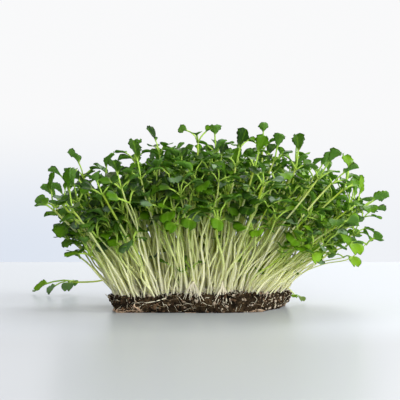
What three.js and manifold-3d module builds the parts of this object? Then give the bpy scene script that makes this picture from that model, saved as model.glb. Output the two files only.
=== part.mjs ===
// A slab of microgreens, lifted whole out of its growing tray: a block of dark growing medium with young
// brassica seedlings standing in it. Millimetres, +Z up, +X to the viewer's right, +Y away from the viewer.
// The origin is on the flat underside of the block, near its middle.
import * as THREE from "three";
import { mergeVertices } from "three/addons/utils/BufferGeometryUtils.js";
import Module from "manifold-3d";

const wasm = await Module();
wasm.setup();
const RADIANS = Math.PI / 180;
const UP = new THREE.Vector3(0, 0, 1);

// The growing block
const BLOCK_CENTRE_X = 2;
const BLOCK_HALF_WIDTH = 48;
const BLOCK_HALF_DEPTH = 33;
const BLOCK_HEIGHT = 10;
const BLOCK_SKEW = 8; // how far the right side's back end stands further right than its middle
const BLOCK_CELLS = { across: 13, deep: 9, high: 2 };
const FLOOR_TRIM = 1.2; // the lumpy block is made this much too low, then cut flat
const CORNER_CUT = { middle: 0.19, towardsRight: 0.11 }; // how much the corners are cut back
const EDGE_WAVES = [[0.9, 4, 0.8], [0.7, 9, 2.1], [0.5, 15, 0]]; // ragged edge: height, waves round it, phase
const EDGE_DEPTH = 6; // power: how soon the ragged edge fades towards the middle
const EDGE_ROUND = { drop: 1.5, power: 12 }; // how the top falls off at the edge
const FOOT_INSET = 0.04; // how much narrower the block's foot is
const SIDE_WAVES = { share: 0.012, round: 11, upward: 4 };
const LUMPS = { long: 0.8, middle: 0.5, short: 0.45 }; // heights of the waves of the medium's surface

// Seedlings stand in bunches of three, in staggered rows
const ROWS = 5;
const BUNCHES_IN_ROW = 5;
const ROW_REACH = 0.82; // of the block's half depth
const COLUMN_REACH = 0.78; // of the block's half width
const STAGGER = 0.08; // every other row stands this much further right, the rest further left
const IN_BUNCH = 3;
const BUNCH_SPREAD = 10; // degrees between neighbouring stems of a bunch
const ROOT_GAP = 2.1; // between the feet of neighbouring stems
const ROOT_DEPTH = 6; // below the medium's surface
const CROWN = { width: 2.2, height: 1.6 }; // the root crown that the stems of a bunch share
const HOLE = { radius: 4.1, flare: 0.1, below: 1.1, length: 16, sides: 6 };

// Stems
const STEM_LENGTH = 68;
const STEM_RADIUS = 1; // of the corners of its section
const STEM_CORNERS = 3;
const STEM_STEPS = 6;
const FINE_STEPS = 24;
const LEAN_LEFT = 52; // degrees, at the block's left edge
const LEAN_RIGHT = 80;
const LEAN_DEPTH = 40; // at the front and back edges
const LEAN_POWER = { across: 1.5, deep: 1.3 }; // how late the lean sets in towards the edges
const LEAN_CAP = 85; // a lean of this many degrees is eased to 0.7 of it
const ROOT_LEAN = 0.6; // the share of its lean that a stem already has in the soil

// Heads: two seed leaves in one strip over the stem's top, and the stalks of true leaves sunk in it
const HEAD_GAP = 0.4; // between the stem's top and the strip
const HEAD_HALF = 0.95; // half the length of the strip's level middle
const HEAD_HALF_WIDTH = 0.95;
const HEAD_SINK = 0.1; // how far the true leaves' stalks start below the strip's middle
const STALK_OFF_MIDDLE = 0.45; // so that two true leaves' stalks stand side by side
const TOP_UPTURN = 0.45; // how far a head turns from its stem's line towards upright
const STALK_HALF_WIDTH = 0.5;
const LEAF_THICKNESS = 0.7;

// A leaf's outline from its foot to its tip: share of the leaf's length, share of the blade's half width,
// and half width on the stalk in millimetres. The tip lies on the middle line.
const OUTLINES = {
  seedLeaf: {
    sides: [[0, 0, HEAD_HALF_WIDTH], [0.42, 0, STALK_HALF_WIDTH], [0.74, 1, 0], [1, 0.45, 0]],
    tip: 0.88, // a notch
  },
  trueLeaf: {
    sides: [
      [0, 0, STALK_HALF_WIDTH],
      [0.45, 0, STALK_HALF_WIDTH],
      [0.62, 0.9, 0],
      [0.71, 0.6, 0],
      [0.84, 0.95, 0],
    ],
    tip: 1,
  },
};

const CLEARANCE = 0.22; // kept between bunches
const CLEAR_DRAWS = 14; // of so many clear draws of a bunch, the one with the fewest faces stands
const MOST_TRIES = 400;
const SEED = 21;

// The range of each random draw, from lowest to highest. Angles are in degrees.
const SIZE = [0.68, 1.17]; // of a bunch, as a share of STEM_LENGTH
const SIZE_GAIN = { left: -0.1, right: 0.14 }; // how much larger those at the block's ends are
const STEM_DRAWS = { bend: [-20, 20], lean: [-1.5, 1.5], length: [0.97, 1.03], sway: [-1.6, 1.6] };
const LEAF_DRAWS = {
  seedLeaf: { turn: [-22, 22], rise: [30, 50], fall: [75, 112], length: [8.8, 11.2], halfWidth: [3, 4] },
  trueLeaf: { turn: [-25, 25], rise: [4, 16], fall: [30, 95], length: [14, 22], halfWidth: [2.6, 3.8] },
};
const SECOND_TRUE_LEAF = 0.25; // the share of seedlings that have one
const PLACE_DRAWS = { u: [-0.03, 0.03], v: [-0.04, 0.04] };

// The seedling that grew over the back edge and lies along the surface, and a small one at the right.
// Each leaf curves from the angle rise to the angle fall, both from the head's upright, towards azimuth.
const TRAILING = {
  points: [[-26, 21, 4.2], [-28, 28, 13], [-35, 42, 17.5], [-51, 65, 13.5], [-65, 85, 9.5], [-80, 94.5, 8.4]],
  radius: 0.9,
  holeRadius: 2.2,
  leaves: [
    { kind: "seedLeaf", azimuth: -70, rise: 88, fall: 150, length: 10.5, halfWidth: 3.2 },
    { kind: "seedLeaf", azimuth: 100, rise: 80, fall: 140, length: 10, halfWidth: 3 },
    { kind: "trueLeaf", azimuth: 163, rise: 80, fall: 136, length: 27, halfWidth: 3.2 },
    { kind: "trueLeaf", azimuth: 205, rise: 78, fall: 148, length: 18, halfWidth: 3.6 },
  ],
};
const SIDE = {
  points: [[43, 19.5, 4.2], [45.5, 23.5, 11], [49, 28.5, 12.4], [55, 34.5, 8], [59.5, 37, 3.2]],
  radius: 0.7,
  holeRadius: 1.9,
  leaves: [
    { kind: "seedLeaf", azimuth: 185, rise: 60, fall: 70, length: 5, halfWidth: 1.9 },
    { kind: "seedLeaf", azimuth: -12, rise: 95, fall: 125, length: 6, halfWidth: 2.2 },
  ],
};

// A repeatable stream of numbers from 0 to 1 for each seed.
function drawsFrom(seed) {
  let state = seed >>> 0;
  return () => {
    state = (state + 0x6d2b79f5) >>> 0;
    let mixed = Math.imul(state ^ (state >>> 15), state | 1);
    mixed ^= mixed + Math.imul(mixed ^ (mixed >>> 7), mixed | 61);
    return ((mixed ^ (mixed >>> 14)) >>> 0) / 4294967296;
  };
}

// A closed geometry as a solid that can be joined and cut.
function solidOf(geometry) {
  const bare = new THREE.BufferGeometry();
  bare.setAttribute("position", geometry.getAttribute("position"));
  bare.setIndex(geometry.index);
  const merged = mergeVertices(bare, 1e-4);
  return new wasm.Manifold(
    new wasm.Mesh({
      numProp: 3,
      vertProperties: new Float32Array(merged.attributes.position.array),
      triVerts: new Uint32Array(merged.index.array),
    }),
  );
}

function meshOf(solid, name, material) {
  const made = solid.getMesh();
  const geometry = new THREE.BufferGeometry();
  geometry.setAttribute("position", new THREE.BufferAttribute(made.vertProperties, 3));
  geometry.setIndex(new THREE.BufferAttribute(made.triVerts, 1));
  const mesh = new THREE.Mesh(geometry, material);
  mesh.name = name;
  return mesh;
}

function joined(solids) {
  return solids.reduce((whole, piece) => whole.add(piece));
}

function crosses(solid, other) {
  return solid.intersect(other).volume() > 0;
}

// The block in plan: u and v run from -1 to 1 across it and front to back. The corners are cut back,
// more on the right, where the right side also slants, and the edge is ragged.
function blockPlan(u, v) {
  const cornerCut = CORNER_CUT.middle + CORNER_CUT.towardsRight * u;
  const x = BLOCK_CENTRE_X + BLOCK_HALF_WIDTH * u * Math.sqrt(1 - cornerCut * v * v)
    + BLOCK_SKEW * v * Math.max(0, u);
  const y = BLOCK_HALF_DEPTH * v * Math.sqrt(1 - cornerCut * u * u);
  const turn = Math.atan2(v, u);
  let ragged = 0;
  for (const [high, round, phase] of EDGE_WAVES) {
    ragged += high * Math.sin(round * turn + phase) * Math.max(Math.abs(u), Math.abs(v)) ** EDGE_DEPTH;
  }
  return new THREE.Vector2(x + ragged * Math.cos(turn), y + ragged * Math.sin(turn));
}

// The height of the medium's lumpy surface.
function soilTop(x, y) {
  return BLOCK_HEIGHT + LUMPS.long * Math.sin(0.06 * x + 0.4) + LUMPS.middle * Math.sin(0.17 * x - 0.12 * y)
    + LUMPS.short * Math.sin(0.46 * x + 0.2) * Math.sin(0.39 * y + 1.1);
}

// The block before its holes: a box of many cells bent to the plan and the surface, with a flat underside.
function blockSolid() {
  const { across, deep, high } = BLOCK_CELLS;
  const geometry = new THREE.BoxGeometry(2, 2, 1, across, deep, high);
  const corners = geometry.getAttribute("position");
  for (let i = 0; i < corners.count; i += 1) {
    const u = corners.getX(i);
    const v = corners.getY(i);
    const share = corners.getZ(i) + 0.5;
    const wave = SIDE_WAVES.share * Math.sin(SIDE_WAVES.round * Math.atan2(v, u) + SIDE_WAVES.upward * share);
    const inset = 1 - FOOT_INSET * (1 - share) ** 2 - wave;
    const place = blockPlan(u * inset, v * inset);
    const roundedEdge = EDGE_ROUND.drop * Math.max(Math.abs(u), Math.abs(v)) ** EDGE_ROUND.power;
    const top = soilTop(place.x, place.y) - roundedEdge;
    corners.setXYZ(i, place.x, place.y, THREE.MathUtils.lerp(-FLOOR_TRIM, top, share));
  }
  const below = new THREE.BoxGeometry(400, 400, 20).translate(0, 0, -10);
  return solidOf(geometry).subtract(solidOf(below));
}

// The lean of a stem at a place on the block, in degrees: outwards, like an opened fan.
function fieldLean(u, v) {
  const across = (u < 0 ? LEAN_LEFT : LEAN_RIGHT) * Math.sign(u) * Math.abs(u) ** LEAN_POWER.across;
  const deep = LEAN_DEPTH * Math.sign(v) * Math.abs(v) ** LEAN_POWER.deep;
  return new THREE.Vector2(across, deep);
}

// The tilt of a stem's top for a lean: steep leans are eased.
function topTilt(lean) {
  return (lean.length() / Math.hypot(1, lean.length() / LEAN_CAP)) * RADIANS;
}

// The middle line of a stem, in FINE_STEPS equal steps from its root.
function stemLine(stem) {
  const lean = topTilt(stem.lean);
  const heading = stem.lean.angle();
  const sideways = new THREE.Vector3(-Math.sin(heading), Math.cos(heading), 0);
  const step = stem.length / FINE_STEPS;
  const at = stem.root.clone();
  const line = [at.clone()];
  for (let i = 0; i < FINE_STEPS; i += 1) {
    const share = (i + 0.5) / FINE_STEPS;
    const tilt = lean * (ROOT_LEAN + (1 - ROOT_LEAN) * share * (2 - share));
    at.x += step * Math.sin(tilt) * Math.cos(heading);
    at.y += step * Math.sin(tilt) * Math.sin(heading);
    at.z += step * Math.cos(tilt);
    const sway = stem.sway * Math.sin((Math.PI * (i + 1)) / FINE_STEPS) ** 2;
    line.push(at.clone().addScaledVector(sideways, sway));
  }
  return line;
}

// A round stem, with few sides, along a line.
function stemSolid(line, radius, steps) {
  const path = new THREE.CatmullRomCurve3(line);
  const corners = Array.from({ length: STEM_CORNERS }, (_, i) => {
    const turn = (2 * Math.PI * i) / STEM_CORNERS;
    return new THREE.Vector2(radius * Math.cos(turn), radius * Math.sin(turn));
  });
  return solidOf(new THREE.ExtrudeGeometry(new THREE.Shape(corners), { steps, extrudePath: path }));
}

// The plain round hole in the medium round a foot, a little wider towards its top.
function holeSolid(foot, along, radius) {
  const turn = new THREE.Quaternion().setFromUnitVectors(new THREE.Vector3(0, 1, 0), along);
  const middle = foot.clone().addScaledVector(along, HOLE.length / 2 - HOLE.below);
  const mouth = radius + HOLE.flare * HOLE.length;
  const geometry = new THREE.CylinderGeometry(mouth, radius, HOLE.length, HOLE.sides);
  return solidOf(geometry.applyQuaternion(turn).translate(middle.x, middle.y, middle.z));
}

// The place of a head on its stem. Its leaves spread from upright.
function headOn(line) {
  const top = line[line.length - 1];
  const axis = top.clone().sub(line[line.length - 2]).normalize();
  const upright = axis.clone().lerp(UP, TOP_UPTURN).normalize();
  const foot = top.clone().addScaledVector(axis, HEAD_GAP + LEAF_THICKNESS / 2);
  return { upright, foot };
}

// The point of a leaf at a share of its length and a sideways distance, and the rise from there to its upper
// face. The leaf curves in one plane, from leaf.rise to leaf.fall, which are angles from the head's upright.
function leafPlace(head, leaf, share, sideways, half) {
  const seed = leaf.kind === "seedLeaf";
  const out = new THREE.Vector3(1, 0, 0).projectOnPlane(head.upright).normalize();
  out.applyAxisAngle(head.upright, leaf.azimuth * RADIANS);
  const across = out.clone().cross(head.upright);
  const from = leaf.rise * RADIANS;
  const turn = (leaf.fall - leaf.rise) * RADIANS;
  const angle = from + turn * share;
  const point = head.foot.clone()
    .addScaledVector(out, seed ? HEAD_HALF : STALK_OFF_MIDDLE)
    .addScaledVector(head.upright, seed ? 0 : -HEAD_SINK)
    .addScaledVector(head.upright, (leaf.length * (Math.sin(angle) - Math.sin(from))) / turn)
    .addScaledVector(out, (leaf.length * (Math.cos(from) - Math.cos(angle))) / turn)
    .addScaledVector(across, sideways);
  const rise = head.upright.clone().multiplyScalar(Math.sin(angle)).addScaledVector(out, -Math.cos(angle));
  if (seed && share === 0) {
    rise.add(head.upright).divideScalar(1 + rise.dot(head.upright));
  }
  return { point, rise: rise.multiplyScalar(half) };
}

// One leaf, or two that share a level middle, as one thin body. Its rim runs up a leaf's right side, over
// the tip and down its left side. Both faces are split into the same triangles.
function leafSolid(head, leaves, swell = 0) {
  const half = LEAF_THICKNESS / 2 + swell;
  const rim = [];
  const face = [];
  for (const leaf of leaves) {
    const { sides, tip } = OUTLINES[leaf.kind];
    const first = rim.length;
    const at = (share, sideways) => leafPlace(head, leaf, share, sideways, half);
    const reach = ([, ofBlade, width]) => ofBlade * leaf.halfWidth + width + swell;
    rim.push(...sides.map((side) => at(side[0], reach(side))), at(tip, 0));
    rim.push(...sides.map((side) => at(side[0], -reach(side))).reverse());
    const end = first + sides.length;
    const opposite = (i) => 2 * end - i;
    for (let i = first; i < end - 2; i += 1) {
      face.push([i, i + 1, opposite(i + 1)], [i, opposite(i + 1), opposite(i)]);
    }
    const last = end - 1;
    const notched = tip < 1;
    face.push([last - 1, last, notched ? end : opposite(last)]);
    face.push([last - 1, notched ? end : opposite(last), opposite(last - 1)]);
    face.push(notched ? [end, opposite(last), opposite(last - 1)] : [last, end, opposite(last)]);
  }
  const count = rim.length;
  if (leaves.length === 2) {
    face.push([0, count / 2 - 1, count / 2], [0, count / 2, count - 1]);
  }
  const upper = rim.map(({ point, rise }) => point.clone().add(rise));
  const lower = rim.map(({ point, rise }) => point.clone().sub(rise));
  const index = [];
  for (const [a, b, c] of face) {
    index.push(a, b, c, count + c, count + b, count + a);
  }
  for (let i = 0; i < count; i += 1) {
    const next = (i + 1) % count;
    index.push(i, count + i, count + next, i, count + next, next);
  }
  const geometry = new THREE.BufferGeometry().setFromPoints([...upper, ...lower]);
  geometry.setIndex(index);
  return solidOf(geometry);
}

// A head's bodies: the strip of its two seed leaves, and each true leaf.
function headSolids(head, leaves, swell) {
  const seedLeaves = leaves.filter(({ kind }) => kind === "seedLeaf");
  const trueLeaves = leaves.filter(({ kind }) => kind === "trueLeaf");
  return [seedLeaves, ...trueLeaves.map((leaf) => [leaf])].map((body) => leafSolid(head, body, swell));
}

// Draws from a stream within ranges.
function between(draw, [low, high]) {
  return low + (high - low) * draw();
}

function drawnLeaf(draw, kind, azimuth) {
  const ranges = LEAF_DRAWS[kind];
  return {
    kind,
    azimuth: azimuth + between(draw, ranges.turn),
    rise: between(draw, ranges.rise),
    fall: between(draw, ranges.fall),
    length: between(draw, ranges.length),
    halfWidth: between(draw, ranges.halfWidth),
  };
}

// What one draw gives a bunch: the stems and leaves of its seedlings. They lean apart in one row, so that
// neighbours' seed leaves meet.
function bunchPlan(bunch, attempt) {
  const draw = drawsFrom(SEED + 1000 * bunch.number + attempt);
  const row = between(draw, [0, 360]);
  const rowStep = new THREE.Vector3(Math.cos(row * RADIANS), Math.sin(row * RADIANS), 0)
    .projectOnPlane(bunch.along).setLength(ROOT_GAP);
  const gain = bunch.u < 0 ? SIZE_GAIN.left : SIZE_GAIN.right;
  const size = between(draw, SIZE) * (1 + gain * Math.abs(bunch.u));
  const seedlings = [];
  for (let k = 0; k < IN_BUNCH; k += 1) {
    const place = k - (IN_BUNCH - 1) / 2;
    const bend = (row + between(draw, STEM_DRAWS.bend)) * RADIANS;
    const lean = new THREE.Vector2(
      bunch.lean.x + place * BUNCH_SPREAD * Math.cos(bend) + between(draw, STEM_DRAWS.lean),
      bunch.lean.y + place * BUNCH_SPREAD * Math.sin(bend) + between(draw, STEM_DRAWS.lean),
    );
    const stem = {
      root: bunch.root.clone().addScaledVector(rowStep, place),
      lean,
      length: STEM_LENGTH * size * between(draw, STEM_DRAWS.length),
      sway: between(draw, STEM_DRAWS.sway),
    };
    const leaves = [drawnLeaf(draw, "seedLeaf", row), drawnLeaf(draw, "seedLeaf", row + 180)];
    const trueLeaves = draw() < SECOND_TRUE_LEAF ? 2 : 1;
    const firstSide = draw() < 0.5 ? 90 : -90;
    for (let n = 0; n < trueLeaves; n += 1) {
      leaves.push(drawnLeaf(draw, "trueLeaf", row + firstSide + 180 * n));
    }
    seedlings.push({ stem, leaves });
  }
  return seedlings;
}

// The places of the bunches: staggered rows, each place moved a little by its own draw.
function bunchPlaces() {
  const places = [];
  for (let row = 0; row < ROWS; row += 1) {
    const aside = row % 2 ? STAGGER : -STAGGER;
    for (let column = 0; column < BUNCHES_IN_ROW; column += 1) {
      const number = places.length + 1;
      const draw = drawsFrom(SEED + number);
      const across = THREE.MathUtils.lerp(-COLUMN_REACH, COLUMN_REACH, column / (BUNCHES_IN_ROW - 1));
      const deep = THREE.MathUtils.lerp(-ROW_REACH, ROW_REACH, row / (ROWS - 1));
      const u = across + aside + between(draw, PLACE_DRAWS.u);
      const v = deep + between(draw, PLACE_DRAWS.v);
      const lean = fieldLean(u, v);
      const tilt = ROOT_LEAN * topTilt(lean);
      const along = new THREE.Vector3(Math.sin(tilt), 0, Math.cos(tilt)).applyAxisAngle(UP, lean.angle());
      const surface = blockPlan(u, v);
      const root = new THREE.Vector3(surface.x, surface.y, soilTop(surface.x, surface.y))
        .addScaledVector(along, -ROOT_DEPTH / along.z);
      places.push({ number, u, lean, root, along });
    }
  }
  return places;
}

// The root crown under a bunch, which its three stems start in: a low bar that faces up along them.
function crownSolid(bunch, seedlings) {
  const row = seedlings[IN_BUNCH - 1].stem.root.clone().sub(seedlings[0].stem.root);
  const length = row.length() + CROWN.width;
  row.normalize();
  const face = bunch.along.clone().addScaledVector(row, -bunch.along.dot(row)).normalize();
  const geometry = new THREE.BoxGeometry(length, CROWN.width, CROWN.height);
  const turn = new THREE.Matrix4().makeBasis(row, face.clone().cross(row), face);
  return solidOf(geometry.applyMatrix4(turn.setPosition(bunch.root)));
}

// The stems and leaves of one draw as two solids, or null where they cross each other or what stands.
function grownBunch(bunch, seedlings, standing) {
  const lines = seedlings.map(({ stem }) => stemLine(stem));
  const heads = lines.map(headOn);
  const ribs = lines.map((line) => line.filter((_, i) => i % (FINE_STEPS / STEM_STEPS) === 0));
  const wideStems = ribs.map((line) => stemSolid(line, STEM_RADIUS + CLEARANCE, STEM_STEPS));
  if (wideStems.some((stem) => crosses(stem, standing))) return null;
  const wideLeaves = seedlings.flatMap(({ leaves }, i) => headSolids(heads[i], leaves, CLEARANCE));
  if (wideLeaves.some((leaf) => crosses(leaf, standing))) return null;
  const bare = ribs.map((line) => stemSolid(line, STEM_RADIUS, STEM_STEPS));
  const stems = joined([crownSolid(bunch, seedlings), ...bare]);
  if (wideLeaves.some((leaf) => crosses(leaf, stems))) return null;
  const leaves = joined(seedlings.flatMap((seedling, i) => headSolids(heads[i], seedling.leaves, 0)));
  if (leaves.decompose().length !== 1 || stems.decompose().length !== 1) return null;
  return { stems, leaves, faces: leaves.numTri() + stems.numTri() };
}

// A seedling that leaves the block over its edge: its middle line is given point by point.
function layingSprout({ points, radius, holeRadius, leaves }) {
  const curve = new THREE.CatmullRomCurve3(points.map((point) => new THREE.Vector3(...point)));
  const line = curve.getPoints(FINE_STEPS);
  const foot = line[line.length - 1].clone().addScaledVector(UP, radius + HEAD_GAP);
  return {
    stem: stemSolid(line, radius, 2 * STEM_STEPS),
    head: joined(headSolids({ upright: UP, foot }, leaves, 0)),
    hole: holeSolid(line[0], line[2].clone().sub(line[0]).normalize(), holeRadius),
  };
}

const soilColour = new THREE.MeshStandardMaterial({ color: 0x3b2a1c, roughness: 0.95, metalness: 0 });
const stemColour = new THREE.MeshStandardMaterial({ color: 0xd3dca0, roughness: 0.5, metalness: 0 });
const leafColour = new THREE.MeshStandardMaterial({ color: 0x3d7a26, roughness: 0.45, metalness: 0 });

const slab = new THREE.Group();
const trailing = layingSprout(TRAILING);
const side = layingSprout(SIDE);
slab.add(meshOf(trailing.stem, "trailing_sprout_stem", stemColour));
slab.add(meshOf(trailing.head, "trailing_sprout_leaves", leafColour));
slab.add(meshOf(side.stem.add(side.head), "side_sprout", leafColour));

let standing = joined([trailing.stem, trailing.head, side.stem, side.head]);
const holes = [trailing.hole, side.hole];
for (const bunch of bunchPlaces()) {
  const clear = [];
  for (let attempt = 0; attempt < MOST_TRIES && clear.length < CLEAR_DRAWS; attempt += 1) {
    const grown = grownBunch(bunch, bunchPlan(bunch, attempt), standing);
    if (grown) clear.push(grown);
  }
  if (clear.length === 0) throw new Error(`bunch ${bunch.number} found no clear place`);
  const [best] = clear.sort((a, b) => a.faces - b.faces);
  const label = String(bunch.number).padStart(2, "0");
  slab.add(meshOf(best.stems, `bunch_${label}_stems`, stemColour));
  slab.add(meshOf(best.leaves, `bunch_${label}_leaves`, leafColour));
  holes.push(holeSolid(bunch.root, bunch.along, HOLE.radius));
  standing = joined([standing, best.stems, best.leaves]);
}
slab.add(meshOf(blockSolid().subtract(joined(holes)), "growing_block", soilColour));

export default slab;
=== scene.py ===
"""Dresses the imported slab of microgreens: soil, roots, and seedlings with fine stems and leaves.

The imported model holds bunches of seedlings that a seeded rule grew. This script grows the same bunches
again, finds the draw that each packed bunch holds, and puts finer stems and leaves in its place. A freer
form of the rule then fills the slab between them. Lengths are in millimetres until a mesh is made in metres.
"""

from __future__ import annotations

import logging
import math
from collections.abc import Iterable, Sequence
from dataclasses import dataclass, field, replace
from enum import Enum

import bpy
import numpy as np
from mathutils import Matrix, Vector, kdtree, noise
from mathutils.bvhtree import BVHTree

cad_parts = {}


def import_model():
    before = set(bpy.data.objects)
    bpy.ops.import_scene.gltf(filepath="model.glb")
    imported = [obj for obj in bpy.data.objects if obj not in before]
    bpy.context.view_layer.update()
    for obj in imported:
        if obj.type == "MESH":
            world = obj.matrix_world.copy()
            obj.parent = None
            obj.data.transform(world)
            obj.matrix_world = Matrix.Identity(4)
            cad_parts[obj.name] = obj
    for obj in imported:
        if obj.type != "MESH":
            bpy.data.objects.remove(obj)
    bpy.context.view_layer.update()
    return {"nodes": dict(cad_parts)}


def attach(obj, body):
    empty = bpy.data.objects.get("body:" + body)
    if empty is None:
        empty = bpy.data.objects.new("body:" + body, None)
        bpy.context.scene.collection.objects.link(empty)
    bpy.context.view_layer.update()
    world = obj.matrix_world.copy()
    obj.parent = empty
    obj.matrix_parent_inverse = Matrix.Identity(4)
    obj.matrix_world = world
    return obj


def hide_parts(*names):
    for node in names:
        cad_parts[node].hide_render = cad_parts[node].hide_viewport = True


LOG = logging.getLogger("microgreens")
MM = 0.001
BODY = "root"
UP = np.array([0.0, 0.0, 1.0])
Colour = tuple[float, float, float]
Point = tuple[float, float, float]
Pair = tuple[float, float]
Array = np.ndarray
Piece = bpy.types.Object
Material = bpy.types.Material
Node = bpy.types.Node
Socket = bpy.types.NodeSocket

BEND_COUNT = 2
BEND_WAVES = (0.5, 1.5)
BEND_SIZE = (0.5, 1)
CRUMB_SEED, WHITE_ROOT_SEED, MAT_SEED, HAIR_SEED = 77, 311, 523, 907
BUNCH_SEED, FILL_SEED = 7000, 5000


def placed(name: str, data: bpy.types.ID) -> Piece:
    """Returns a new object of the data, linked into the scene.

    Args:
        name: Its name.
        data: Its mesh, camera or light.

    Returns:
        The object.
    """
    piece = bpy.data.objects.new(name, data)
    bpy.context.scene.collection.objects.link(piece)
    return piece


def unit(vector: Array) -> Array:
    """Returns the vector at length 1."""
    return vector / np.linalg.norm(vector)


def turned(vector: Array, axis: Array, degrees: float) -> Array:
    """Returns the vector turned about a unit axis.

    Args:
        vector: The vector.
        axis: The axis, of length 1.
        degrees: How far it turns.

    Returns:
        The turned vector.
    """
    angle = math.radians(degrees)
    along = axis * np.dot(axis, vector) * (1 - math.cos(angle))
    return vector * math.cos(angle) + np.cross(axis, vector) * math.sin(angle) + along


def smooth_step(value: Array | float, low: float, high: float) -> Array | float:
    """Returns 0 below low, 1 above high and a smooth rise between."""
    share = np.clip((value - low) / (high - low), 0, 1)
    return share * share * (3 - 2 * share)


def resampled(line: Array, count: int) -> Array:
    """Returns a line through the same places with an even number of points.

    Args:
        line: The line, one point in each row.
        count: How many points it gets.

    Returns:
        The new line.
    """
    far = np.concatenate([[0], np.cumsum(np.linalg.norm(np.diff(line, axis=0), axis=1))])
    even = np.linspace(0, far[-1], count)
    return np.stack([np.interp(even, far, line[:, axis]) for axis in range(3)], axis=1)


def wiggled(line: Array, draws: Draws, amount: float) -> Array:
    """Returns a line with soft random bends between its ends, which stay.

    Args:
        line: The plain line.
        draws: The random numbers.
        amount: How far it may bend.

    Returns:
        The bent line.
    """
    share = np.linspace(0, 1, len(line))
    bends = []
    for _ in range(BEND_COUNT):
        waves = draws.between(BEND_WAVES) * share + draws.next()
        bends.append(draws.between(BEND_SIZE) * np.sin(math.pi * share) * np.sin(2 * math.pi * waves))
    return line + amount * np.stack([*bends, np.zeros(len(line))], axis=1)


def bowed(start: Array, end: Array, bow: Array, count: int) -> Array:
    """Returns a line from start to end that bows aside half way."""
    way = np.linspace(0, 1, count)[:, None]
    return start * (1 - way) + end * way + bow * np.sin(math.pi * way)


class Draws:
    """A repeatable stream of random numbers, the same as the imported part's."""

    MASK = 0xFFFFFFFF
    STEP = 0x6D2B79F5

    def __init__(self, seed: int) -> None:
        """Starts the stream of a seed."""
        self.state = seed & self.MASK

    def next(self) -> float:
        """Returns the next number from 0 to 1.

        Returns:
            The number.
        """
        self.state = (self.state + self.STEP) & self.MASK
        mixed = ((self.state ^ (self.state >> 15)) * (self.state | 1)) & self.MASK
        mixed ^= (mixed + ((mixed ^ (mixed >> 7)) * (mixed | 61))) & self.MASK
        return ((mixed ^ (mixed >> 14)) & self.MASK) / (self.MASK + 1)

    def between(self, limits: Sequence[float]) -> float:
        """Returns the next number within two limits."""
        return limits[0] + (limits[1] - limits[0]) * self.next()


class LeafKind(Enum):
    """The two kinds of leaf."""

    SEED = "seed leaf"
    TRUE = "true leaf"


SEED, TRUE = LeafKind.SEED, LeafKind.TRUE
Limits = dict[LeafKind, tuple[Pair, ...]]

# A leaf's turn, rise, fall, length and half width, in the bunches and between them, where leaves hang more
BUNCH_LEAVES = {
    SEED: ((-22, 22), (30, 50), (75, 112), (8.8, 11.2), (3, 4)),
    TRUE: ((-25, 25), (4, 16), (30, 95), (14, 22), (2.6, 3.8)),
}
FILL_LEAVES = {
    SEED: ((-30, 30), (20, 55), (80, 165), (9.8, 13.4), (3.4, 4.8)),
    TRUE: ((-30, 30), (0, 20), (50, 140), (12, 21), (2.3, 3.6)),
}


@dataclass(frozen=True)
class Leaf:
    """One leaf on a head: angles in degrees from the head's upright, lengths in millimetres."""

    kind: LeafKind
    azimuth: float
    rise: float
    fall: float
    length: float
    half_width: float
    roll: float = 0.0


@dataclass(frozen=True)
class Stem:
    """One stem: its root, its lean in degrees along X and Y, its length and its sideways sway."""

    root: Array
    lean: Array
    length: float
    sway: float


@dataclass(frozen=True)
class Head:
    """A stem's top: the point and the direction that its leaves spread from."""

    foot: Array
    upright: Array


@dataclass(frozen=True)
class Seedling:
    """A stem's middle line, its thickness at both ends, its head and its leaves."""

    line: Array
    radii: Pair
    head: Head
    leaves: tuple[Leaf, ...]


Plan = list[tuple[Stem, tuple[Leaf, ...]]]


@dataclass(frozen=True)
class BlockShape:
    """The growing block's outline and surface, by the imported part's rule."""

    centre_x: float = 2.0
    half_width: float = 48.0
    half_depth: float = 33.0
    height: float = 10.0
    skew: float = 8.0
    corner_cut: float = 0.19
    corner_cut_right: float = 0.11
    edge_waves: tuple[Point, ...] = ((0.9, 4, 0.8), (0.7, 9, 2.1), (0.5, 15, 0))
    edge_depth: float = 6.0
    edge_drop: float = 1.5
    edge_power: float = 12.0
    foot_inset: float = 0.04
    side_waves: tuple[float, float, float] = (0.012, 11, 4)
    lumps: tuple[float, float, float] = (0.8, 0.5, 0.45)

    def plan(self, u: Array | float, v: Array | float) -> tuple[Array, Array]:
        """Places a point of the block in plan.

        Args:
            u: Position across the block, from -1 to 1.
            v: Position from front to back, from -1 to 1.

        Returns:
            The X and Y of that point.
        """
        cut = self.corner_cut + self.corner_cut_right * u
        x = self.centre_x + self.half_width * u * np.sqrt(1 - cut * v * v)
        x = x + self.skew * v * np.maximum(0, u)
        y = self.half_depth * v * np.sqrt(1 - cut * u * u)
        turn = np.arctan2(v, u)
        waves = sum(high * np.sin(count * turn + phase) for high, count, phase in self.edge_waves)
        ragged = waves * np.maximum(np.abs(u), np.abs(v)) ** self.edge_depth
        return x + ragged * np.cos(turn), y + ragged * np.sin(turn)

    def top(self, x: Array | float, y: Array | float) -> Array:
        """Returns the height of the medium's lumpy surface.

        Args:
            x: Places across.
            y: Places from front to back.

        Returns:
            The height above the foot.
        """
        long, middle, short = self.lumps
        return (
            self.height
            + long * np.sin(0.06 * x + 0.4)
            + middle * np.sin(0.17 * x - 0.12 * y)
            + short * np.sin(0.46 * x + 0.2) * np.sin(0.39 * y + 1.1)
        )


@dataclass(frozen=True)
class Place:
    """Where seedlings stand: number, place on the block, lean, root and way out of the soil."""

    number: int
    u: float
    v: float
    lean: Array
    root: Array
    along: Array


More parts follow.
